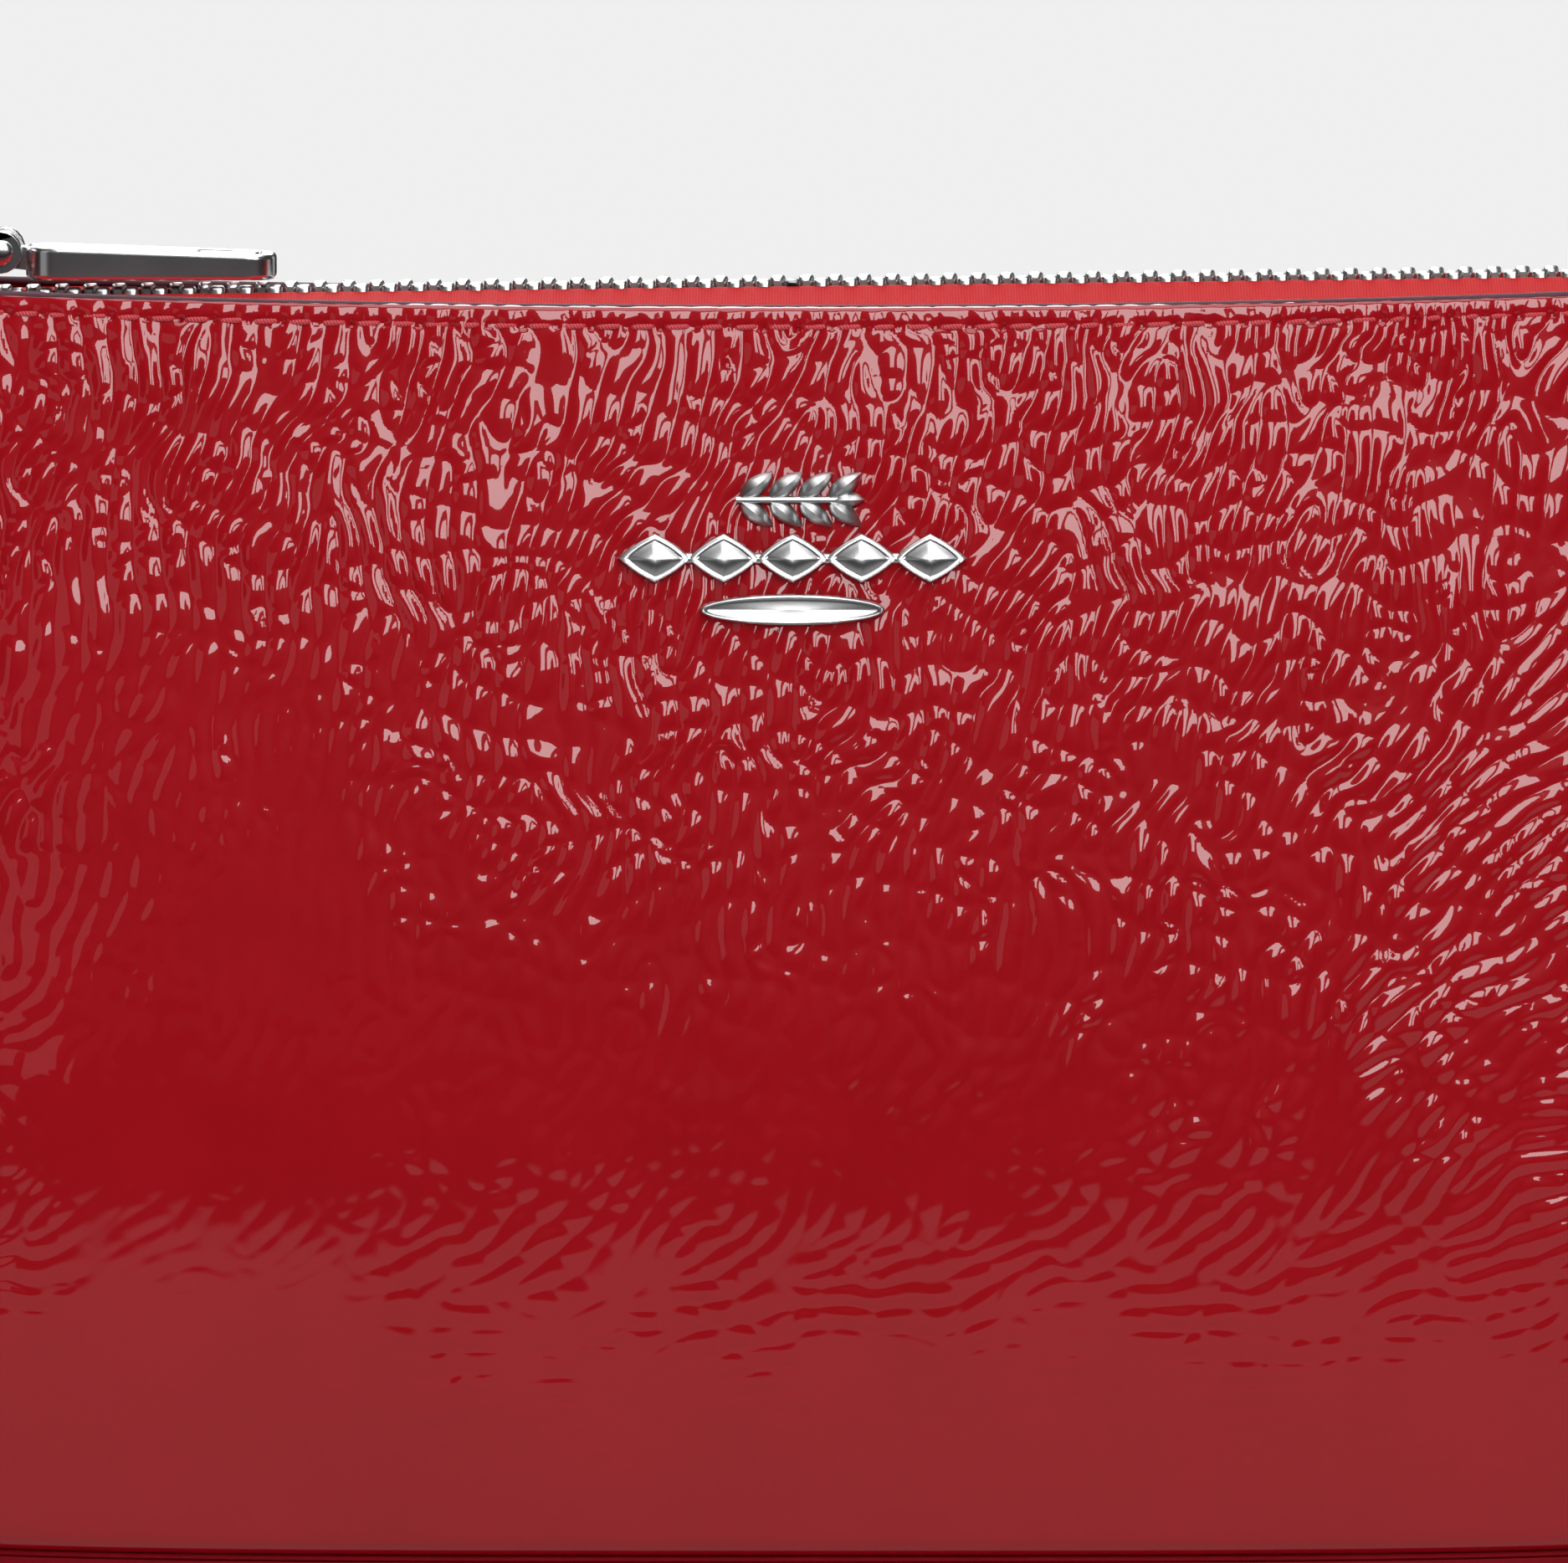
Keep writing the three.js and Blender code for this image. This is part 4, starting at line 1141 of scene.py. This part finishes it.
OVAL_PROFILE = (  # share of the half-length, and distance out from the foot
    (1.0, 0.0),
    (1.0, 0.55),
    (0.985, 0.78),
    (0.94, 0.86),
    (0.90, 0.80),
    (0.87, 0.60),
    (0.82, 0.56),
    (0.05, 0.62),
)


def emblem_plate():
    low, high = box_mm("emblem_plate")
    centre_z = (low[2] + high[2]) / 2
    half_x, half_z = (high[0] - low[0]) / 2, (high[2] - low[2]) / 2 * 0.96
    around = np.linspace(0, 2 * np.pi, 81)[:-1]
    rings = []
    for share, out in OVAL_PROFILE:
        margin = (1 - share) * half_x
        ring = []
        for t in around:
            x = (half_x - margin * 0.45) * math.cos(t)
            z = max(half_z - margin * 0.45, 0.02) * math.sin(t)
            if share < 0.5:
                x, z = x * share, z * share
            ring.append(on_panel(x, centre_z + z, EMBLEM_LIFT + out))
        rings.append(ring)
    obj = outward(merged("emblem_oval", [loft(np.array(rings))], SILVER))
    return place(obj, "root", "trim_metal", "emblem_plate")


emblem_bar()
emblem_sprig()
emblem_plate()


# ------------------------------------------------------------------ stage and light
BACKDROP = 0.865  # grey of the floor and the background, as the camera sees them
# grey of the painted contact shadow on the floor, right against the pouch
PAINTED_SHADOW_GREY = 0.35
MIRRORED_FLOOR = 0.46
MIRROR_FADE = (0.115, 0.165)  # distance from the middle over which reflections lose the floor
SOFT_SKY, MIRRORED_SKY = 0.55, 0.04
FLOOR_REACH = 6.0
LIGHT_DISTANCE, LIGHT_AIM = 1.0, 0.06
STUDIO_LIGHTS = (  # name, azimuth, elevation, size, radiance
    ("_middle", 1, 39, (0.25, 0.86), 7.0),
    ("_right", 24, 37, (0.22, 0.80), 7.0),
    ("_left_card", -36, 6, (0.40, 0.5), 0.4),
)


def stage_floor():
    """A pale floor, with a painted contact shadow where the camera sees it near the pouch. Reflections see it only
    close to the pouch, as on a small table.
    """
    mesh = bpy.data.meshes.new("floor")
    reach = FLOOR_REACH
    corners = [(-reach, -reach, 0), (reach, -reach, 0), (reach, reach, 0), (-reach, reach, 0)]
    mesh.from_pydata(corners, [], [(0, 1, 2, 3)])
    floor = bpy.data.objects.new("floor", mesh)
    bpy.context.collection.objects.link(floor)
    floor.location.z = -0.0003
    material = bpy.data.materials.new("floor")
    material.use_nodes = True
    tree = material.node_tree
    tree.nodes.clear()

    def node(kind, **inputs):
        made = tree.nodes.new(kind)
        for key, value in inputs.items():
            key = key.replace("_", " ")
            if isinstance(value, bpy.types.NodeSocket):
                tree.links.new(value, made.inputs[key])
            else:
                made.inputs[key].default_value = value
        return made

    path = node("ShaderNodeLightPath")
    # painted contact shadow: the floor's glow, as the camera sees it, darkens with ambient occlusion near the
    # pouch
    shade = node("ShaderNodeAmbientOcclusion", Distance=0.06)
    shade.samples = 8
    ramp = node("ShaderNodeMapRange", Value=shade.outputs["AO"])
    ramp.inputs["To Min"].default_value = PAINTED_SHADOW_GREY
    ramp.inputs["To Max"].default_value = BACKDROP
    seen = node("ShaderNodeEmission", Strength=ramp.outputs["Result"])
    seen.inputs["Color"].default_value = (1, 1, 1, 1)
    matte = node("ShaderNodeBsdfDiffuse")
    matte.inputs["Color"].default_value = (0.8, 0.8, 0.8, 1)
    place_node = node("ShaderNodeNewGeometry")
    split = node("ShaderNodeSeparateXYZ", Vector=place_node.outputs["Position"])
    away = tree.nodes.new("ShaderNodeMath")
    away.operation = "ABSOLUTE"
    tree.links.new(split.outputs["Y"], away.inputs[0])
    near = node("ShaderNodeMapRange", Value=away.outputs[0])
    near.interpolation_type = "SMOOTHSTEP"
    near.inputs["From Min"].default_value = MIRROR_FADE[0]
    near.inputs["From Max"].default_value = MIRROR_FADE[1]
    near.inputs["To Min"].default_value = MIRRORED_FLOOR
    near.inputs["To Max"].default_value = 0.0
    mirrored = node("ShaderNodeEmission", Strength=near.outputs["Result"])
    pick_glossy = tree.nodes.new("ShaderNodeMixShader")
    tree.links.new(path.outputs["Is Glossy Ray"], pick_glossy.inputs[0])
    tree.links.new(matte.outputs[0], pick_glossy.inputs[1])
    tree.links.new(mirrored.outputs[0], pick_glossy.inputs[2])
    pick_camera = tree.nodes.new("ShaderNodeMixShader")
    tree.links.new(path.outputs["Is Camera Ray"], pick_camera.inputs[0])
    tree.links.new(pick_glossy.outputs[0], pick_camera.inputs[1])
    tree.links.new(seen.outputs[0], pick_camera.inputs[2])
    out = tree.nodes.new("ShaderNodeOutputMaterial")
    tree.links.new(pick_camera.outputs[0], out.inputs["Surface"])
    mesh.materials.append(material)


def sky():
    """Even light grey behind the object, dim for reflections, soft for diffuse light."""
    world = bpy.data.worlds.new("studio")
    bpy.context.scene.world = world
    world.use_nodes = True
    tree = world.node_tree
    tree.nodes.clear()
    path = tree.nodes.new("ShaderNodeLightPath")

    def light(value):
        made = tree.nodes.new("ShaderNodeBackground")
        made.inputs["Color"].default_value = (1, 1, 1, 1)
        made.inputs["Strength"].default_value = value
        return made

    glossy = tree.nodes.new("ShaderNodeMixShader")
    tree.links.new(path.outputs["Is Glossy Ray"], glossy.inputs[0])
    tree.links.new(light(SOFT_SKY).outputs[0], glossy.inputs[1])
    tree.links.new(light(MIRRORED_SKY).outputs[0], glossy.inputs[2])
    camera = tree.nodes.new("ShaderNodeMixShader")
    tree.links.new(path.outputs["Is Camera Ray"], camera.inputs[0])
    tree.links.new(glossy.outputs[0], camera.inputs[1])
    tree.links.new(light(BACKDROP).outputs[0], camera.inputs[2])
    out = tree.nodes.new("ShaderNodeOutputWorld")
    tree.links.new(camera.outputs[0], out.inputs["Surface"])


def softbox(name, azimuth, elevation, distance, size, radiance):
    """An area light that faces the pouch. Azimuth 0 is in front of it, 90 to its right."""
    data = bpy.data.lights.new(name, "AREA")
    data.shape = "RECTANGLE"
    data.size, data.size_y = size
    data.energy = radiance * math.pi * size[0] * size[1]
    light = bpy.data.objects.new(name, data)
    bpy.context.collection.objects.link(light)
    a, e = math.radians(azimuth), math.radians(elevation)
    back = Vector((math.sin(a) * math.cos(e), -math.cos(a) * math.cos(e), math.sin(e)))
    light.location = back * distance + Vector((0, 0, LIGHT_AIM))
    light.rotation_mode = "QUATERNION"
    light.rotation_quaternion = back.to_track_quat("Z", "Y")
    light.visible_camera = False


def studio():
    """The same set of lights in front of the pouch and behind it."""
    for word, turn in (("front", 0), ("back", 180)):
        for name, azimuth, elevation, size, radiance in STUDIO_LIGHTS:
            softbox(word + name, azimuth + turn, elevation, LIGHT_DISTANCE, size, radiance)
    softbox("overhead", 0, 89, 1.1, (1.2, 0.7), 3.0)


stage_floor()
sky()
studio()
bpy.context.scene.view_settings.view_transform = "Standard"

bpy.context.view_layer.update()
